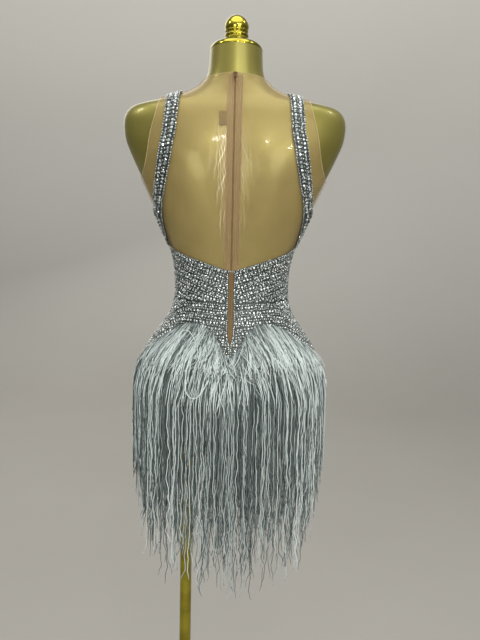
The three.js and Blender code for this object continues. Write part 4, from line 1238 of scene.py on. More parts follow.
@dataclass
class ZipFastening:
    """The zip's tapes, coil, stitching, serged edge and label, and the slider's finish."""

    tape_rows: int = 150
    coil_pitch: float = 1.35
    coil_half: float = 1.35
    coil_radius: float = 0.3
    stitch_pitch: float = 3.1
    stitch_length: float = 2.2
    stitch_rise: float = 0.2
    stitch_radius: float = 0.24
    # Distance from the middle, and slant, of each row of stitches down the tapes.
    stitch_rows: tuple = ((6.2, 0.25), (-6.2, 0.25), (12.0, 0.5), (-11.4, 0.5))
    label_near: float = 13.5
    label_far: float = 25.5
    label_low: float = 1417.5
    label_high: float = 1438.5
    label_hem: float = 1.6
    label_stitch: float = 2.6

    def tape_patch(self) -> Patch:
        """Places of the left tape."""
        row = np.linspace(TORSO.row_at(ZIP_END), TORSO.row_at(ZIP_TOP), self.tape_rows + 1)[:, None]
        x = np.linspace(SEAM, TAPE_HALF, 7)[None]
        return Patch(row + 0 * x, TORSO.turn_at(TORSO.column("z", row) + 0 * x, x))

    def up_zip(self, x: Array, z: Array, out: Array) -> Array:
        """Points at a signed distance from the middle of the back, by section height."""
        x, z, out = np.broadcast_arrays(x, z, out)
        return TORSO.stand(TORSO.row_at(z), np.sign(x) * TORSO.turn_at(z, np.abs(x)), out)

    def coil(self) -> Piece:
        """The coil: one bent loop of wire after another, from the left and the right in turn."""
        count = int((ZIP_TOP - 8 - ZIP_END) / self.coil_pitch)
        z = ZIP_END + 4 + np.arange(count) * self.coil_pitch
        hand = np.where(np.arange(count) % 2, 1.0, -1.0)
        share = np.linspace(0, 1, 6)[None]
        x = hand[:, None] * self.coil_half * (1 - 1.9 * share)
        out = TAPE_LAYER.outer + 0.25 + 0.75 * np.sin(share * math.pi)
        centres = self.up_zip(x, z[:, None] + 0.25 * np.sin(share * 2 * math.pi), out)
        return tubes("zip_coil", centres, self.coil_radius, 5, (0.0, 0.0, 1.0))

    def stitches(self) -> Piece:
        """Rows of small stitches down both tapes and along the label's ends, each a little arch."""
        share = np.linspace(-1, 1, 4)[None]
        arch = self.stitch_rise * (1 - share**2)
        z = np.arange(GLITTER_TOP(0.0) + 8, ZIP_TOP - 6, self.stitch_pitch)[:, None]
        up = z + self.stitch_length / 2 * share
        out = MESH_LAYER.outer + 0.12 + arch
        rows = [self.up_zip(x + slant * share, up, out) for x, slant in self.stitch_rows]
        hem = self.label_hem
        x = np.arange(self.label_near + hem, self.label_far - hem + 0.1, self.label_stitch)[:, None]
        rows += [
            self.up_zip(x + 0.9 * share, z, LABEL_LAYER.outer + 0.3 + arch)
            for z in (self.label_low + hem, self.label_high - hem)
        ]
        return tubes("zip_stitches", np.concatenate(rows), self.stitch_radius, 4, (0.0, 1.0, 0.1))

    def serged_edge(self, name: str, hand: float, wave: float) -> Piece:
        """The overlocked edge of a tape: a thread that winds from side to side."""
        z = np.linspace(GLITTER_TOP(0.0) + 14, ZIP_TOP - 3, 620)
        sway = wave * (np.sin(z / 1.15) + 0.5 * np.sin(z / 7.3) + 0.4 * np.sin(z / 3.1))
        path = self.up_zip(hand * (TAPE_HALF - 0.2) + sway, z, MESH_LAYER.outer + 0.25)
        return thread(name, path, 0.36, 5)

    def label(self) -> Piece:
        """The plain label on the mesh beside the left tape, its lower corner a little lifted."""
        up, across = np.linspace(0, 1, 17)[:, None], np.linspace(0, 1, 13)[None]
        z = self.label_low + (self.label_high - self.label_low) * up
        x = self.label_near + (self.label_far - self.label_near) * across
        lift = 0.9 * (1 - up) ** 3 * across**2 + 0.12 * np.sin(across * 9)
        patch = Patch.at(z, TORSO.turn_at(z, x))
        return cloth_panel("label_plain", patch, LABEL_LAYER, lift, stretch=WOVEN)

    def build(self, form: Piece) -> None:
        """Makes and dresses the zip's pieces."""
        woven = WovenTape("nude_tape").material()
        nylon = WovenTape("coil_nylon", light=(0.4, 0.22, 0.11), dark=(0.25, 0.13, 0.06)).material()
        sewing = WovenTape("sewing_thread", light=(0.55, 0.36, 0.21), dark=(0.42, 0.26, 0.14)).material()
        gold = {"light": (0.205, 0.148, 0.058), "dark": (0.15, 0.104, 0.04)}
        satin = WovenTape("label_satin", **gold, pitch=0.8).material()
        left = self.tape_patch()
        middle = [dress(self.coil(), nylon), dress(self.stitches(), sewing)]
        for side, patch, hand, wave, carried in (
            ("left", left, 1.0, 0.12, middle), ("right", left.flipped(), -1.0, 0.5, []),
        ):
            tape = cloth_panel(f"tape_{side}", patch, TAPE_LAYER, stretch=WOVEN)
            dress(tape, woven, [f"zip_tape_{side}"])
            edge = dress(self.serged_edge(f"serged_edge_{side}", hand, wave), sewing)
            declare_sheet(tape, [form], with_pieces=[edge, *carried])
        declare_sheet(dress(self.label(), satin, ["label"]), ["back_mesh_left"])
        metal = ZipMetal().material()
        for name in ("zip_slider", "zip_pull"):
            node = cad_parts[name]
            node.data.materials.clear()
            node.data.materials.append(metal)


# ---- The crystals and the glitter cloth ----


class Setting(NamedTuple):
    """Where stones are set: rows, turns and radii."""

    row: Array
    turn: Array
    radius: Array

    @classmethod
    def joined(cls, settings: Sequence["Setting"]) -> "Setting":
        """All the places of many settings."""
        return cls(*(np.concatenate(column) for column in zip(*settings)))

    def flipped(self) -> "Setting":
        """The same stones on the other side of the middle."""
        return self._replace(turn=-self.turn)


class Stones(NamedTuple):
    """A size of stone and how far apart its middles are in a row."""

    radius: float
    pitch: float


class Lane(NamedTuple):
    """A row of stones along a strap: its share of the width, its stones' radius and pitch, and how
    much of a pitch it is shifted."""

    share: float
    radius: float
    pitch: float
    shift: float


@dataclass
class CrystalBodice:
    """The glitter panels and straps with their crystals."""

    large: Stones = Stones(2.75, 6.2)
    small: Stones = Stones(1.45, 4.0)
    edge: Stones = Stones(1.6, 3.7)
    row_step: float = 4.55
    # How far the rows keep from the panel's top and the zip, and where they start and stop.
    edge_inset: float = 1.4
    row_inset: float = 5.6
    zip_clear: float = 4.4
    zip_foot: float = 1019.0
    front_height: float = 320.0
    fewest: int = 12
    strap_lanes: tuple = (
        Lane(0.02, 1.7, 4.6, 0.1), Lane(0.28, 3.4, 6.9, 0.0), Lane(0.5, 1.45, 6.9, 0.25),
        Lane(0.72, 3.4, 6.9, 0.5), Lane(0.98, 1.7, 4.6, 0.6),
    )
    jitter: float = 0.45
    tilt: float = 0.16
    sides: int = 8
    bed: float = 0.12
    # A stone's rim and peak, as shares of its radius.
    rim_share: float = 0.6
    rim_rise: float = 0.42
    peak_rise: float = 0.52
    first_seed: int = 11
    waist: float = 1112.0
    # Height of the lowest of the rows that follow the hips.
    hip_row: Outline = Outline((0, 1036), (30, 1040), (55, 1034), (74, 1010), (90, 986))
    # The strap's stations up the back, over the shoulder and down the front: x and height of its
    # inner and of its outer edge, with turns in place of the heights near the shoulder's ridge.
    strap_rows: tuple = (
        (110, 1206.5, 170, 1214.5), (117.6, 1240, 170, 1240), (120.8, 1262, 170, 1262),
        (121, 1269, 137.9, 1269), (120.7, 1278, 137, 1278), (120, 1288, 136.4, 1289),
        (115, 1317, 134, 1318), (109.3, 1345, 130.3, 1347), (104.6, 1374, 126.2, 1376),
        (99.7, 1402, 121.3, 1403), (97.5, 1424, 119.2, 1424), (96.4, 1438, 118, 1437),
        (95.6, 1448, 117.2, 1446), (95, 1454, 116.6, 1451.5), (94.6, 1458, 116.2, 1455),
        (94.2, 48, 115.8, 50), (93.6, 59, 115.2, 60), (93, 70, 114.6, 70), (92.5, 80, 114, 80),
        (92, 90, 113.5, 90), (91.6, 100, 113.1, 100), (91.2, 110, 112.7, 110),
        (90.8, 121, 112.3, 120), (90.4, 132, 111.9, 130), (90, 1457.5, 111.5, 1454.5),
        (89.5, 1452, 111, 1449), (88.8, 1441, 110.2, 1439), (88.3, 1424, 109.6, 1423),
        (88, 1400, 109.2, 1400), (88, 1374, 109, 1374), (88, 1350, 108.8, 1350),
        (88, 1334, 108.6, 1334), (88, 1317.5, 108.5, 1317),
    )

    def back_patch(self) -> Patch:
        """Places of the left back panel, from the zip's gap to the side seam. The turns and the
        heights depend on each other, and settle in a few rounds."""
        share = np.linspace(0, 1, 41)[None]
        up = np.linspace(0, 1, 37)[:, None]
        turn = SIDE * share + 0 * up
        for _ in range(4):
            z = FRINGE_LINE(turn) + (GLITTER_TOP(turn) - FRINGE_LINE(turn)) * up
            start = TORSO.turn_at(z, zip_gap(z))
            turn = start + (SIDE - SIDE_SEAM - start) * share
        return Patch.at(z, turn)

    def front_patch(self) -> Patch:
        """Places of the front panel, from side seam to side seam."""
        turn = np.linspace(SIDE + SIDE_SEAM, 3 * SIDE - SIDE_SEAM, 73)[None]
        up = np.linspace(0, 1, 49)[:, None]
        low, top = FRINGE_LINE(from_back(turn)), BODICE_TOP(from_back(turn))
        return Patch.at(low + (top - low) * up, turn)

    def strap_lines(self) -> tuple[Array, Array, Array, Array]:
        """Rows and turns of the strap's inner and outer edges at its stations."""
        inner_x, inner, outer_x, outer = np.array(self.strap_rows, float).T
        near = inner < FRONT
        past = np.arange(len(near)) > int(np.argmax(near & (inner == SIDE)))
        edges = []
        for x, place in ((inner_x, inner), (outer_x, outer)):
            fold = np.where(place > SIDE, FRONT - place, place)
            level = np.where(near, ARM_LOW, place)
            row = np.where(near, TORSO.ridge_row(x, np.where(near, fold, SIDE)), TORSO.row_at(level))
            back = TORSO.turn_at(level, x)
            edges += [row, np.where(near, place, np.where(past, FRONT - back, back))]
        return tuple(edges)

    def strap_patch(self, across: Array, stations: int) -> Patch:
        """Places of the left strap at shares of its width."""
        at = np.linspace(0, len(self.strap_rows) - 1, stations)
        lines = (smooth(column, at)[:, None] for column in self.strap_lines())
        inner_row, inner_turn, outer_row, outer_turn = lines
        share = across[None]
        row = inner_row + (outer_row - inner_row) * share
        return Patch(row, inner_turn + (outer_turn - inner_turn) * share)

    @staticmethod
    def spread(row: Array, turn: Array, out: float, pitch: float, shift: float) -> tuple[Array, Array]:
        """Even places along a line on the form, so far apart, the first at shift of a pitch."""
        run = run_along(TORSO.stand(row, turn, out))
        at = np.arange(pitch * (0.2 + shift), run[-1] - 0.2 * pitch, pitch)
        return np.interp(at, run, row), np.interp(at, run, turn)

    def row_of(self, z: Array, turn: Array, stones: Stones, shift: float) -> Setting:
        """One row of stones along a line."""
        row, around = self.spread(TORSO.row_at(z), turn, GLITTER_LAYER.outer, stones.pitch, shift)
        return Setting(row, around, np.full(row.shape, stones.radius))

    def runs(self, z: Array, turn: Array, kept: Array, k: int) -> list[Setting]:
        """A row of large or of small stones, in turn, along each stretch of a line that is kept and
        isn't too short."""
        stones = self.small if k % 2 else self.large
        change = np.diff(np.concatenate([[0], kept.astype(int), [0]]))
        stretches = zip(np.flatnonzero(change == 1), np.flatnonzero(change == -1))
        shift = 0.5 * (k // 2 % 2)
        return [
            self.row_of(z[start:end], turn[start:end], stones, shift)
            for start, end in stretches
            if end - start > self.fewest
        ]

    @staticmethod
    def sway(turn: Array, k: int) -> Array:
        """How much the height of the k-th row of stones wavers."""
        return 0.7 * np.sin(turn / 7.0 + 1.7 * k)

    def back_stones(self) -> Setting:
        """Rows under the panel's upper edge down to the waist, rows over the hips below it, and
        edgings along the top and the zip."""
        turn = np.linspace(0.2, SIDE - 0.3, 1200)
        top, low, hips = GLITTER_TOP(turn), FRINGE_LINE(turn), self.hip_row(turn)
        settings = [self.row_of(top - self.edge_inset, turn, self.edge, 0.1)]
        for k in range(-8, 24):
            upper = top - self.row_inset - k * self.row_step + self.sway(turn, k)
            lower = hips + k * self.row_step + self.sway(turn, k)
            for z, inside in ((upper, (upper > self.waist) & (k >= 0)), (lower, lower < self.waist - 2.5)):
                clear_of_zip = turn > TORSO.turn_at(z, zip_gap(z) + self.zip_clear)
                settings += self.runs(z, turn, inside & clear_of_zip & (z > low - 2.0), k)
        z = np.linspace(self.zip_foot, GLITTER_TOP(0.0) - 3.5, 500)
        settings.append(self.row_of(z, TORSO.turn_at(z, zip_gap(z) + 1.9), self.edge, 0.1))
        return Setting.joined(settings)

    def front_stones(self) -> Setting:
        """Level rows up the bodice, and an edging along its top."""
        turn = np.linspace(SIDE + 0.4, 3 * SIDE - 0.4, 2000)
        top, low = BODICE_TOP(from_back(turn)), FRINGE_LINE(from_back(turn))
        settings = [self.row_of(top - self.edge_inset, turn, self.edge, 0.1)]
        for k in range(int(self.front_height / self.row_step)):
            z = low + 1.0 + k * self.row_step + self.sway(turn, k)
            settings += self.runs(z, turn, z < top - 4.6, k)
        return Setting.joined(settings)

    def strap_stones(self) -> Setting:
        """Small stones along both edges of the strap, two rows of large ones between them, and tiny
        ones in the gaps down the middle."""
        settings = []
        for lane in self.strap_lanes:
            patch = self.strap_patch(np.array([lane.share]), 1200)
            line = patch.row[:, 0], patch.turn[:, 0]
            row, turn = self.spread(*line, STRAP_LAYER.outer, lane.pitch, lane.shift)
            settings.append(Setting(row, turn, np.full(row.shape, lane.radius)))
        return Setting.joined(settings)

    def cut_stones(self, setting: Setting, out: float, rng: np.random.Generator) -> Array:
        """Points of each stone: its girdle, a smaller rim turned by half a side, and its peak."""
        count = setting.row.size
        centre = TORSO.stand(setting.row, setting.turn, np.full(count, out))
        normal = TORSO.normal(setting.row, setting.turn)
        shove = rng.normal(0.0, self.jitter, (count, 3))
        centre = centre + shove - np.einsum("ij,ij->i", shove, normal)[:, None] * normal
        normal = unit(normal + rng.normal(0.0, self.tilt, (count, 3)))
        wide = unit(np.cross(normal, np.array([0.05, 0.03, 1.0])))
        high = np.cross(normal, wide)
        step = 2 * math.pi / self.sides
        angle = rng.uniform(0, 2 * math.pi, count)[:, None] + np.arange(self.sides) * step
        radius = (setting.radius * rng.uniform(0.8, 1.12, count))[:, None]
        rings = []
        for share, lift, twist in ((1.0, 0.0, 0.0), (self.rim_share, self.rim_rise, step / 2)):
            x, y = np.cos(angle + twist) * radius * share, np.sin(angle + twist) * radius * share
            base = centre[:, None] + (self.bed + lift * radius)[..., None] * normal[:, None]
            rings.append(base + x[..., None] * wide[:, None] + y[..., None] * high[:, None])
        peak = centre + (self.bed + self.peak_rise * radius) * normal
        return np.concatenate([*rings, peak[:, None]], axis=1).reshape(-1, 3)

    def stones(self, name: str, setting: Setting, out: float, seed: int) -> Piece:
        """Faceted flat-backed stones as one mesh.

        A stone is a girdle, a rim, a ring of triangles between them, and a fan of triangles up to a
        low point. Each is tipped a little its own way, and each facet gets a painted reflection, a
        random brightness that the fan's triangles share in pairs.

        Args:
            name: the piece's name.
            setting: where the stones sit, and their radii.
            out: how far their flat backs stand off the form.
            seed: seed of their places, tilts and painted reflections.

        Returns:
            The piece, with the painted reflection of its facets as a value of its faces.
        """
        rng = np.random.default_rng(seed)
        points = self.cut_stones(setting, out, rng)
        count, sides = setting.row.size, self.sides
        side = np.arange(sides)
        after = (side + 1) % sides
        lower = np.stack([side, after, sides + side], -1)
        upper = np.stack([after, sides + after, sides + side], -1)
        fan = np.stack([sides + side, sides + after, np.full(sides, 2 * sides)], -1)
        start = (np.arange(count) * (2 * sides + 1))[:, None, None]
        crown = (start + np.concatenate([lower, upper, fan])[None]).reshape(-1, 3)
        back = (start + side[::-1][None, None]).reshape(-1, sides)
        # Each facet's painted reflection: a random brightness from near black to white for the dark and
        # bright surroundings it would mirror, shared in pairs on the fan; the flat backs get none.
        facet = rng.beta(0.5, 1.15, (count, 2 * sides))
        table = np.repeat(rng.beta(0.75, 0.6, (count, sides // 2)), 2, axis=1)
        fire = np.concatenate([np.concatenate([facet, table], axis=1).ravel(), np.zeros(count)])
        tint = rng.uniform(0, 1, count)
        values = {"fire": fire, "tint": np.concatenate([np.repeat(tint, 3 * sides), tint])}
        return fill_mesh(name, points, [crown, back], Facets.FLAT, None, values)

    def build(self, form: Piece) -> None:
        """Makes and dresses the panels, the straps and their stones."""
        cloth, crystal = GlitterCloth().material(), CrystalFire().material()
        back, strap = self.back_patch(), self.strap_patch(np.linspace(0, 1, 7), 180)
        on_back, on_strap = self.back_stones(), self.strap_stones()
        panels = (
            ("back_panel_left", "glitter_back_left", back, on_back, GLITTER_LAYER),
            ("back_panel_right", "glitter_back_right", back.flipped(), on_back.flipped(), GLITTER_LAYER),
            ("bodice_front", "glitter_front", self.front_patch(), self.front_stones(), GLITTER_LAYER),
            ("strap_cloth_left", "strap_left", strap, on_strap, STRAP_LAYER),
            ("strap_cloth_right", "strap_right", strap.flipped(), on_strap.flipped(), STRAP_LAYER),
        )
        for seed, (name, node, patch, setting, layer) in enumerate(panels, self.first_seed):
            panel = dress(cloth_panel(name, patch, layer), cloth, [node])
            stones = self.stones(f"{name}_stones", setting, layer.outer, seed)
            declare_sheet(panel, [form], with_pieces=[dress(stones, crystal)])


@dataclass
class Brief:
    """The plain brief under the fringe and its gusset."""

    rows: int = 26
    gusset_half: float = 33.0
    gusset_rows: tuple = (2.9, 2.5, 2.15, 1.8, 1.45, 1.1, 0.6)

    def half_patch(self, turn: Array) -> Patch:
        """Places from the leg line to the glitter's lower edge."""
        up = np.linspace(0, 1, self.rows + 1)[:, None]
        low, top = LEG_LINE(from_back(turn)), FRINGE_LINE(from_back(turn)) - SEAM
        return Patch.at(low + (top - low) * up, turn)

    def gusset_patch(self) -> Patch:
        """Places under the form, from the brief's back to its front."""
        stations = np.array([TORSO.row_at(LEG_LINE(0.0) - 3 * SEAM), *self.gusset_rows])
        rows = smooth(stations, np.linspace(0, len(stations) - 1, 29))
        x = np.linspace(-self.gusset_half, self.gusset_half, 17)[None]
        share = np.minimum(1.0, np.abs(x) / TORSO.column("half", rows)[:, None])
        power = TORSO.column("square", rows)[:, None] / 2
        back = np.sign(x) * np.degrees(np.arcsin(share**power))
        row = rows[:, None] + 0 * x
        return Patch(np.concatenate([row, row[::-1]]), np.concatenate([back, (FRONT - back)[::-1]]))

    def build(self, form: Piece) -> None:
        """Makes and dresses the three pieces."""
        cloth = BriefCloth().material()
        across = np.linspace(SIDE_SEAM - SIDE, SIDE - SIDE_SEAM, 61)
        pieces = (
            ("seat", "brief_back", self.half_patch(across)),
            ("brief_front_cloth", "brief_front", self.half_patch(FRONT + across)),
            ("gusset_cloth", "gusset", self.gusset_patch()),
        )
        for name, node, patch in pieces:
            declare_sheet(dress(cloth_panel(name, patch, BRIEF_LAYER), cloth, [node]), [form])


# ---- The fringe ----


class Tier(NamedTuple):
    """A row of fringe: how far its roots lie below its line, how far its strands stand off the form
    at the hips, how far apart they are, how many steps each has, what share of the way down to the
    hem they may stop short, and how light its yarn looks, less for rows that hang under others as a painted
    shade."""

    drop: float
    clear: float
    pitch: float
    steps: int
    short: float
    light: float


class Sector(NamedTuple):
    """A quarter of the skirt."""

    name: str
    start: float
    end: float
    hand: float


class Span(NamedTuple):
    """The ends of an even chance."""

    low: float
    high: float


class Chances:
    """Chances for many threads at once, as columns with one row for each thread."""

    def __init__(self, rng: np.random.Generator, count: int) -> None:
        """Keeps where the chances come from, and how many threads there are."""
        self.rng = rng
        self.count = count

    def even(self, low: float, high: float) -> Array:
        """Even chances between two numbers."""
        return self.rng.uniform(low, high, self.count)[:, None]

    def bell(self, spread: float) -> Array:
        """Chances that bunch round 0, with their usual distance from it."""
        return self.rng.normal(0, spread, self.count)[:, None]

    def pick(self, share: float) -> Array:
        """Whether each thread is one of a share of them."""
        return self.even(0, 1) < share

    def swing(self, fall: Array, length: Span) -> Array:
        """A sine down each thread, with its own length and start."""
        return np.sin(2 * math.pi * (fall / self.even(*length) + self.even(0, 1)))


@dataclass
class FringeSkirt:
    """Chainette fringe in many rows, hanging plumb from the hips."""

    hang_z: float = 936.0
    thick: float = 1.0
    thin: float = 0.74
    pale_share: float = 0.37
    root_clear: float = 4.6
    header: float = 6.0
    header_layer: Layer = Layer(4.1, 5.2)
    header_tone: float = 0.12
    ragged: float = 190.0
    shortest: float = 35.0
    sides: int = 3
    # How strands fan out, gather into locks and keep closer at the sides, in turns and shares.
    fan: float = 7.0
    fan_end: float = 62.0
    lock: float = 3.3
    side_hug: float = 0.3
    # Lengths of a strand's two sideways waves and of its wave out from the form, and their swings.
    slow: Span = Span(80, 190)
    quick: Span = Span(28, 60)
    out_wave: Span = Span(60, 150)
    slow_swing: Span = Span(0.6, 4.0)
    quick_swing: Span = Span(0.3, 1.8)
    out_swing: Span = Span(0.2, 1.5)
    stray: float = 6.0
    crinkle: float = 0.5
    # Where the curl of a tip starts, its radius and the angle that it turns through.
    curl_start: float = 0.94
    curl_radius: Span = Span(2.0, 5.5)
    curl_turn: Span = Span(1.2, 3.8)
    # Tones from 0 for dark to 1 for light, the dim tone partly painted shade, and the painted shade below the
    # crest and in the middle of the back.
    pale_tone: Span = Span(0.72, 1.0)
    dim_tone: Span = Span(0.0, 0.24)
    shade: float = 0.32
    shade_start: float = 45.0
    shade_length: float = 55.0
    shade_turn: float = 17.0
    crest_threads: int = 880
    crest_steps: int = 13
    crest_clear: float = 5.4
    ledge: float = 988.0
    upper: tuple = (
        Tier(0, 13.4, 3.1, 46, 0.0, 1.0), Tier(7, 12.3, 3.0, 38, 0.03, 0.9),
        Tier(17, 11.0, 3.0, 30, 0.08, 0.66),
    )
    lower: tuple = (
        Tier(0, 9.8, 2.8, 26, 0.14, 0.5), Tier(14, 8.4, 2.7, 20, 0.23, 0.4),
        Tier(28, 7.2, 2.7, 16, 0.32, 0.34), Tier(40, 6.3, 2.1, 14, 0.48, 0.3),
    )
    # Threads that have slipped: x, how far each point stands off the form, and its height.
    stray_loop: tuple = (
        (62, 14.8, 1034), (68, 16.5, 1009), (71.5, 17.5, 986), (72, 18.2, 969), (68, 18.8, 956),
        (60, 19.0, 950), (51, 19.0, 953), (44, 18.6, 962), (38, 18.0, 973), (34, 17.2, 982),
    )
    stray_curl: tuple = (
        (56, 9, 1034), (61, 12.5, 1050), (69, 13, 1060), (78, 13, 1060), (84, 13, 1052),
        (85.5, 12.5, 1041), (82, 11, 1028),
    )
    sectors: tuple = (
        Sector("back_left", 0, 90, 1), Sector("back_right", 0, 90, -1),
        Sector("front_left", 90, 180, 1), Sector("front_right", 90, 180, -1),
    )

    def hug(self, turn: Array) -> Array:
        """The share of their clearance that threads keep, which is least at the sides."""
        return 1 - self.side_hug * np.sin(np.radians(turn)) ** 4

    def fanned(self, turn: Array) -> Array:
        """How much threads fan out: a half sine from the middle of the back to fan_end."""
        return np.sin(math.pi * np.clip(turn / self.fan_end, 0, 1))

    def roots(
        self, tier: Tier, line: Outline, sector: Sector, rng: np.random.Generator
    ) -> tuple[Array, Array]:
        """Turns and heights of a row's roots: even along the line, then a little uneven, with tufts
        that start higher."""
        sample = np.linspace(sector.start, sector.end, 400)
        run = run_along(TORSO.stand(TORSO.row_at(line(sample)), sample, np.full(sample.shape, tier.clear)))
        count = int(run[-1] / tier.pitch)
        turn = np.interp((np.arange(count) + 0.5) * run[-1] / count, run, sample)
        turn = np.clip(turn + rng.normal(0, 0.3, count), sector.start + 0.1, sector.end - 0.1)
        tuft = 5.0 * np.sin(turn * 0.41 + 0.8) ** 4 * np.cos(np.radians(turn)) ** 2
        root = line(turn) - tier.drop + tuft - rng.gamma(2.0, 1.8, count)
        return turn[:, None], root[:, None]

    def hung(self, tier: Tier, sector: Sector, turn: Array, z: Array, chances: Chances) -> Array:
        """Paths of a row's strands before they wave: down the form to its widest and then straight,
        fanned out, and leaning into locks by a sine."""
        level = np.maximum(z, self.hang_z)
        root = z[:, :1]
        fallen = np.clip((root - level) / np.maximum(root - self.hang_z, 1.0), 0, 1)
        clear = tier.clear * self.hug(turn) + chances.bell(0.8)
        out = self.root_clear + (clear - self.root_clear) * fallen**0.8
        fan = self.fan * self.fanned(turn) ** 1.5 * (0.5 + chances.even(0, 1))
        fan = fan - 1.6 * np.exp(-turn / 5.0)
        lock = np.sin(2 * math.pi * (turn / self.lock + 0.4 * np.sin(0.53 * turn + tier.drop)))
        lean = fan + chances.bell(1.6) - 0.3 * lock
        edge = np.clip(turn + lean * fallen, sector.start - 2.0, sector.end + 2.0)
        path = TORSO.stand(TORSO.row_at(level), edge, out)
        path[..., 2] = np.where(z > self.hang_z, path[..., 2], z)
        return path

    def waved(self, path: Array, turn: Array, fall: Array, share: Array, chances: Chances) -> Array:
        """The paths with their waves, which grow downwards, their crinkles, and the curls of their
        tips: r (1 - cos a) across and r sin a up."""
        facing = TORSO.normal(TORSO.row_at(np.full(turn.shape, self.hang_z)), turn)
        facing = unit(facing * np.array([1.0, 1.0, 0.0]))
        wide = np.stack([-facing[..., 1], facing[..., 0], np.zeros(turn.shape)], -1)
        part = fall / fall[:, -1:]
        slow, quick = chances.swing(fall, self.slow), chances.swing(fall, self.quick)
        side = chances.even(*self.slow_swing) * part * slow
        side = side + chances.even(*self.quick_swing) * (0.3 + 0.7 * part) * quick
        side = side + chances.bell(self.stray) * part**1.5
        side = side + chances.rng.normal(0, self.crinkle, side.shape) * np.clip(share * 8, 0, 1)
        out = chances.even(*self.out_swing) * part * chances.swing(fall, self.out_wave)
        curl = np.where(chances.pick(0.5), chances.even(*self.curl_radius), 0.6)
        curl = curl * np.sign(chances.even(-1, 1))
        bend = np.clip((share - self.curl_start) / (1 - self.curl_start), 0, 1)
        bend = bend * chances.even(*self.curl_turn)
        side = side + curl * (1 - np.cos(bend))
        path = path + side[..., None] * wide + out[..., None] * facing
        path[..., 2] += np.abs(curl) * np.sin(bend) * 0.6
        return path

    def toned(self, tier: Tier, pale: Array, turn: Array, fall: Array, chances: Chances) -> Array:
        """Tone at each point of a row's strands, with painted shade and light: darker at the roots,
        lighter just below them, darker below the crest and in the middle of the back, and darker in the
        rows that hang under others."""
        # Pale and dim strands in a random order, the dim ones' dark tone partly painted shade for strands
        # that lie back in the gaps; the row's light share gives painted shade to rows that hang under others.
        tone = np.where(pale, chances.even(*self.pale_tone), chances.even(*self.dim_tone)) * tier.light
        below = np.clip((fall - self.shade_start) / self.shade_length, 0, 1)
        middle = np.exp(-((turn / self.shade_turn) ** 2)) * np.clip(fall / 60, 0, 1)
        tone = tone * np.clip(0.45 + fall / 70, 0, 1) * (1.12 - self.shade * below)
        return np.clip(tone * (1 - self.shade * middle), 0, 1)

    def strands(
        self, tier: Tier, line: Outline, sector: Sector, rng: np.random.Generator
    ) -> tuple[Array, Array, Array]:
        """Paths of one row of strands.

        A strand ends at the uneven hem, or at a share of the way to it in a row that stops short,
        and is never shorter than the shortest. Pale strands are thicker than dim ones, and every
        strand thins at its root and its tip.

        Args:
            tier: the row's measures.
            line: the line of the roots, by turn.
            sector: the quarter that it fills.
            rng: where its chances come from.

        Returns:
            The paths, their radii, and the tone at each of their points.
        """
        turn, root = self.roots(tier, line, sector, rng)
        chances = Chances(rng, len(turn))
        hem = FRINGE_HEM(turn) + self.ragged * rng.beta(1.0, 2.1, turn.shape)
        hem = hem + (root - hem) * np.maximum(tier.short, tier.short + chances.bell(0.05))
        hem = np.minimum(hem, root - self.shortest)
        share = 1 - (1 - np.linspace(0, 1, tier.steps)[None]) ** 1.2
        z = root + (hem - root) * share
        fall = root - z
        path = self.hung(tier, sector, turn, z, chances)
        path = self.waved(path, turn, fall, share, chances)
        order = np.arange(len(turn))[:, None] * GOLDEN + chances.even(0, 0.15)
        pale = order % 1 < self.pale_share
        radii = np.where(pale, self.thick, self.thin) * chances.even(0.82, 1.15)
        radii = radii * np.clip(0.5 + share * 12, 0, 1) * np.clip(0.45 + (1 - share) * 16, 0, 1)
        tone = self.toned(tier, pale, turn, fall, chances)
        path[..., 0] *= sector.hand
        return path, radii, tone

    def header_band(self, line: Outline, sector: Sector) -> Solid:
        """The narrow knitted header that carries a quarter's strands."""
        turn = np.linspace(sector.start + 0.4, sector.end - 0.4, 61)[None] * sector.hand
        up = np.linspace(0, 1, 4)[:, None]
        row = TORSO.row_at(line(np.abs(turn)) - 1.2 - self.header * (1 - up))
        layer = self.header_layer
        return wall(TORSO.stand(row, turn, layer.outer), TORSO.stand(row, turn, layer.inner))

    def quarter(
        self, name: str, tiers: Sequence[Tier], line: Outline, sector: Sector, seed: int
    ) -> Piece:
        """All rows of one quarter, with their header, as one mesh."""
        rng = np.random.default_rng(seed)
        band, faces = self.header_band(line, sector)
        points, places = [band], [np.zeros((len(band), 2))]
        tones = [np.full(len(band), self.header_tone)]
        for tier in tiers:
            path, radii, tone = self.strands(tier, line, sector, rng)
            ring, groups, place = bundle(path, radii, self.sides, (0.0, 1.0, 0.2))
            start = sum(map(len, points))
            faces += [start + group for group in groups]
            points.append(ring)
            places.append(place)
            tones.append(np.repeat(tone.ravel(), self.sides))
        cloth, values = np.concatenate(places), {"tone": np.concatenate(tones)}
        return fill_mesh(name, np.concatenate(points), faces, cloth=cloth, values=values)

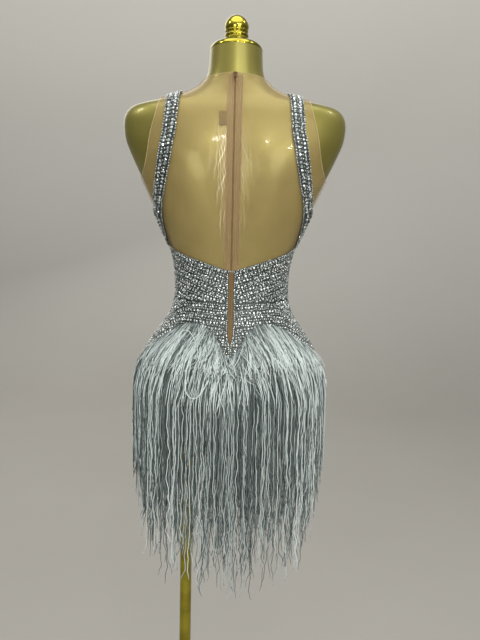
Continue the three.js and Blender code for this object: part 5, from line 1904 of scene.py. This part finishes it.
    def crest(self) -> Piece:
        """Loose pale threads that arch out over the hips from the roots.

        A thread rises a little by a sine, falls by a power of the way along it, stands further off
        the form by a power of it, and drifts sideways, outwards from the middle of the back. Most end
        at one uneven ledge.
        """
        chances = Chances(np.random.default_rng(77), self.crest_threads)
        behind = chances.pick(0.76)
        near = 0.5 + 82.0 * chances.rng.beta(1.0, 1.6, behind.shape)
        away = np.where(behind, near, chances.even(90, 179))
        away = np.where(chances.pick(0.15), chances.even(0, 12), away)
        share = np.linspace(0, 1, self.crest_steps)[None]
        root = FRINGE_LINE(away) - chances.even(-3, 16) - 6 * np.sin(np.radians(away)) ** 2
        end = np.where(chances.pick(0.25), chances.even(905, 975), self.ledge + chances.bell(7.5))
        drop = np.clip(root - end, 22, 130)
        z = root + chances.even(0, 3) * np.sin(share * 2.6) - drop * share**1.2
        drift = 8.0 * self.fanned(away) + chances.bell(6.0)
        sway = chances.even(-1.6, 1.6) * share
        sway = sway * np.sin(share * chances.even(5, 14) + chances.even(0, 6))
        out = self.crest_clear + chances.even(7.0, 10.5) * self.hug(away) * share**0.7
        turn = (away + drift * share + sway) * np.sign(chances.even(-1, 1))
        path = TORSO.stand(TORSO.row_at(z), turn, out)
        radii = chances.even(0.5, 0.95) * np.clip(0.5 + (1 - share) * 5, 0, 1)
        # Pale and dim threads, the dim ones' dark tone partly painted shade; every thread is given painted
        # shade towards its root.
        tone = np.where(chances.pick(0.68), chances.even(0.88, 1.0), chances.even(0.0, 0.3))
        tone = tone * (0.5 + 0.5 * share**0.7)
        return tubes("fringe_crest", path, radii, self.sides, (0.0, 1.0, 0.3), tone)

    def slipped(self, name: str, route: tuple) -> Piece:
        """One thread that has slipped and hangs in a loop."""
        at = np.linspace(0, len(route) - 1, 60)
        x, out, z = (smooth(column, at) for column in np.array(route, float).T)
        level = np.maximum(z, self.hang_z)
        path = TORSO.stand(TORSO.row_at(level), TORSO.turn_at(level, x), out)
        path[:, 2] = z
        return thread(name, path, 0.6, 5)

    def build(self) -> None:
        """Makes and dresses the eight quarters and the loose threads."""
        yarn = FringeYarn().material()
        groups = (("upper", self.upper, FRINGE_LINE), ("lower", self.lower, LOWER_FRINGE_LINE))
        for k, (word, tiers, line) in enumerate(groups):
            for j, sector in enumerate(self.sectors):
                name = f"strands_{word}_{sector.name}"
                piece = self.quarter(name, tiers, line, sector, 31 + 7 * k + j)
                dress(piece, yarn, [f"fringe_{word}_{sector.name}"])
        dress(self.crest(), yarn)
        for name, route in (("stray_loop", self.stray_loop), ("stray_curl", self.stray_curl)):
            dress(self.slipped(name, route), yarn)


# ---- The studio ----


class Lamp(NamedTuple):
    """An oval light: its place and what it faces in metres, its width and height, its power and its
    colour."""

    name: str
    place: tuple[float, float, float]
    aim: tuple[float, float, float]
    size: tuple[float, float]
    power: float
    colour: Colour


WARM = (1.0, 0.99, 0.96)
COOL = (0.99, 0.99, 0.98)
BACK = (0.0, 0.1, 1.4)  # the middle of the garment's back, which the small lamps face


@dataclass
class Studio:
    """Pale floor and backdrop in one sweep, soft lights and the camera."""

    camera_place: tuple[float, float, float] = (-17.0, 1750.0, 1400.0)
    pitch: float = 10.8
    roll: float = 1.26
    focal: float = 962.0
    frame_height: int = 640
    sensor: float = 36.0
    wall_y: float = -4600.0
    wall_top: float = 12000.0
    sweep: float = 1500.0
    floor_half: float = 60000.0
    sky_low: Colour = (0.19, 0.19, 0.185)
    sky_high: Colour = (0.66, 0.66, 0.65)
    # Light on both sides of the camera and from overhead, small lamps for the bright spots on the
    # shoulders, and a light for the front.
    lamps: tuple = (
        Lamp("key", (-1.2, 2.4, 2.9), (0.0, 0.0, 1.15), (2.6, 1.4), 18.0, (1.0, 0.985, 0.955)),
        Lamp("band_left", (0.75, 2.4, 1.25), (0.0, 0.0, 1.3), (1.0, 1.3), 18.0, COOL),
        Lamp("band_right", (-1.05, 2.3, 1.5), (0.0, 0.0, 1.3), (1.1, 1.3), 19.0, COOL),
        Lamp("top", (0.0, 0.2, 3.6), (0.0, 0.0, 1.0), (3.4, 2.6), 50.0, (1.0, 1.0, 1.0)),
        Lamp("lamp_left", (-0.24, 2.26, 2.39), BACK, (0.2, 0.2), 10.0, WARM),
        Lamp("lamp_right", (-1.53, 1.94, 1.91), BACK, (0.18, 0.18), 8.0, WARM),
        Lamp("lamp_far_left", (1.97, 0.0, 3.03), BACK, (0.4, 0.4), 7.0, WARM),
        Lamp("lamp_far_right", (-1.82, -0.37, 3.14), BACK, (0.3, 0.3), 4.0, WARM),
        Lamp("front_key", (1.2, -3.6, 2.4), (0.0, 0.0, 1.1), (4.2, 2.8), 42.0, (1.0, 0.98, 0.95)),
    )

    def camera(self) -> None:
        """The camera behind the form, tipped down and turned a little about its own line of sight."""
        data = bpy.data.cameras.new("camera")
        data.sensor_width = self.sensor
        data.lens = self.focal / self.frame_height * self.sensor
        data.clip_end = 50.0
        camera = place_object("camera", data)
        tip, roll = math.radians(self.pitch), math.radians(self.roll)
        ahead = np.array([0.0, -math.cos(tip), -math.sin(tip)])
        right = np.array([-1.0, 0.0, 0.0])
        up = np.cross(right, ahead)
        level_right = math.cos(roll) * right + math.sin(roll) * up
        level_up = -math.sin(roll) * right + math.cos(roll) * up
        turn = Matrix(np.stack([level_right, level_up, -ahead], axis=1).tolist()).to_4x4()
        camera.matrix_world = Matrix.Translation([part * MM for part in self.camera_place]) @ turn
        bpy.context.scene.camera = camera

    def backdrop(self) -> None:
        """A floor that rises into a wall through a quarter circle."""
        wide, bend = self.floor_half, self.sweep
        floor = np.array([[y, 0.0] for y in np.linspace(wide, self.wall_y + bend, 24)])
        angle = np.linspace(0, math.pi / 2, 24)[1:]
        curve = np.stack([self.wall_y + bend * (1 - np.sin(angle)), bend * (1 - np.cos(angle))], -1)
        rise = np.array([[self.wall_y, z] for z in np.linspace(bend + 300, self.wall_top, 12)])
        profile = np.concatenate([floor, curve, rise])
        x = np.linspace(-wide, wide, 61)
        grid = np.stack(np.broadcast_arrays(x[None], profile[:, :1], profile[:, 1:]), -1)
        faces = grid_faces(len(profile), len(x))[:, ::-1]
        backdrop = fill_mesh("backdrop", grid.reshape(-1, 3), [faces])
        backdrop.data.materials.append(StudioPaint().material())

    @staticmethod
    def light(lamp: Lamp) -> None:
        """Puts up one light."""
        data = bpy.data.lights.new(lamp.name, "AREA")
        data.shape = "ELLIPSE"
        data.size, data.size_y = lamp.size
        data.energy = lamp.power
        data.color = lamp.colour
        made = place_object(lamp.name, data)
        made.location = lamp.place
        away = Vector(lamp.place) - Vector(lamp.aim)
        made.rotation_euler = away.to_track_quat("Z", "Y").to_euler()

    def sky(self) -> bpy.types.World:
        """Soft surroundings, dim below and bright overhead."""
        world = bpy.data.worlds.new("world")
        world.use_nodes = True
        tree = world.node_tree
        way = tree.nodes.new("ShaderNodeTexCoord")
        split = tree.nodes.new("ShaderNodeSeparateXYZ")
        ramp = tree.nodes.new("ShaderNodeValToRGB")
        tree.links.new(way.outputs["Generated"], split.inputs[0])
        tree.links.new(split.outputs[2], ramp.inputs[0])
        ramp.color_ramp.elements[0].color = (*self.sky_low, 1.0)
        ramp.color_ramp.elements[1].color = (*self.sky_high, 1.0)
        ramp.color_ramp.elements[1].position = 0.8
        tree.links.new(ramp.outputs[0], tree.nodes["Background"].inputs["Color"])
        return world

    def lights(self) -> None:
        """Puts up the lights and the soft surroundings."""
        for lamp in self.lamps:
            self.light(lamp)
        bpy.context.scene.world = self.sky()
        bpy.context.scene.view_settings.view_transform = "Standard"

    def build(self) -> None:
        """Sets the camera, the backdrop and the lights."""
        self.camera()
        self.backdrop()
        self.lights()


def main() -> None:
    """Builds every sub-assembly in order."""
    logging.basicConfig(level=logging.INFO, format="%(name)s: %(message)s")
    Studio().build()
    form = DressForm().build()
    PoleStand().build()
    SheerMesh().build(form)
    ZipFastening().build(form)
    CrystalBodice().build(form)
    Brief().build(form)
    FringeSkirt().build()


if __name__ == "__main__":
    main()
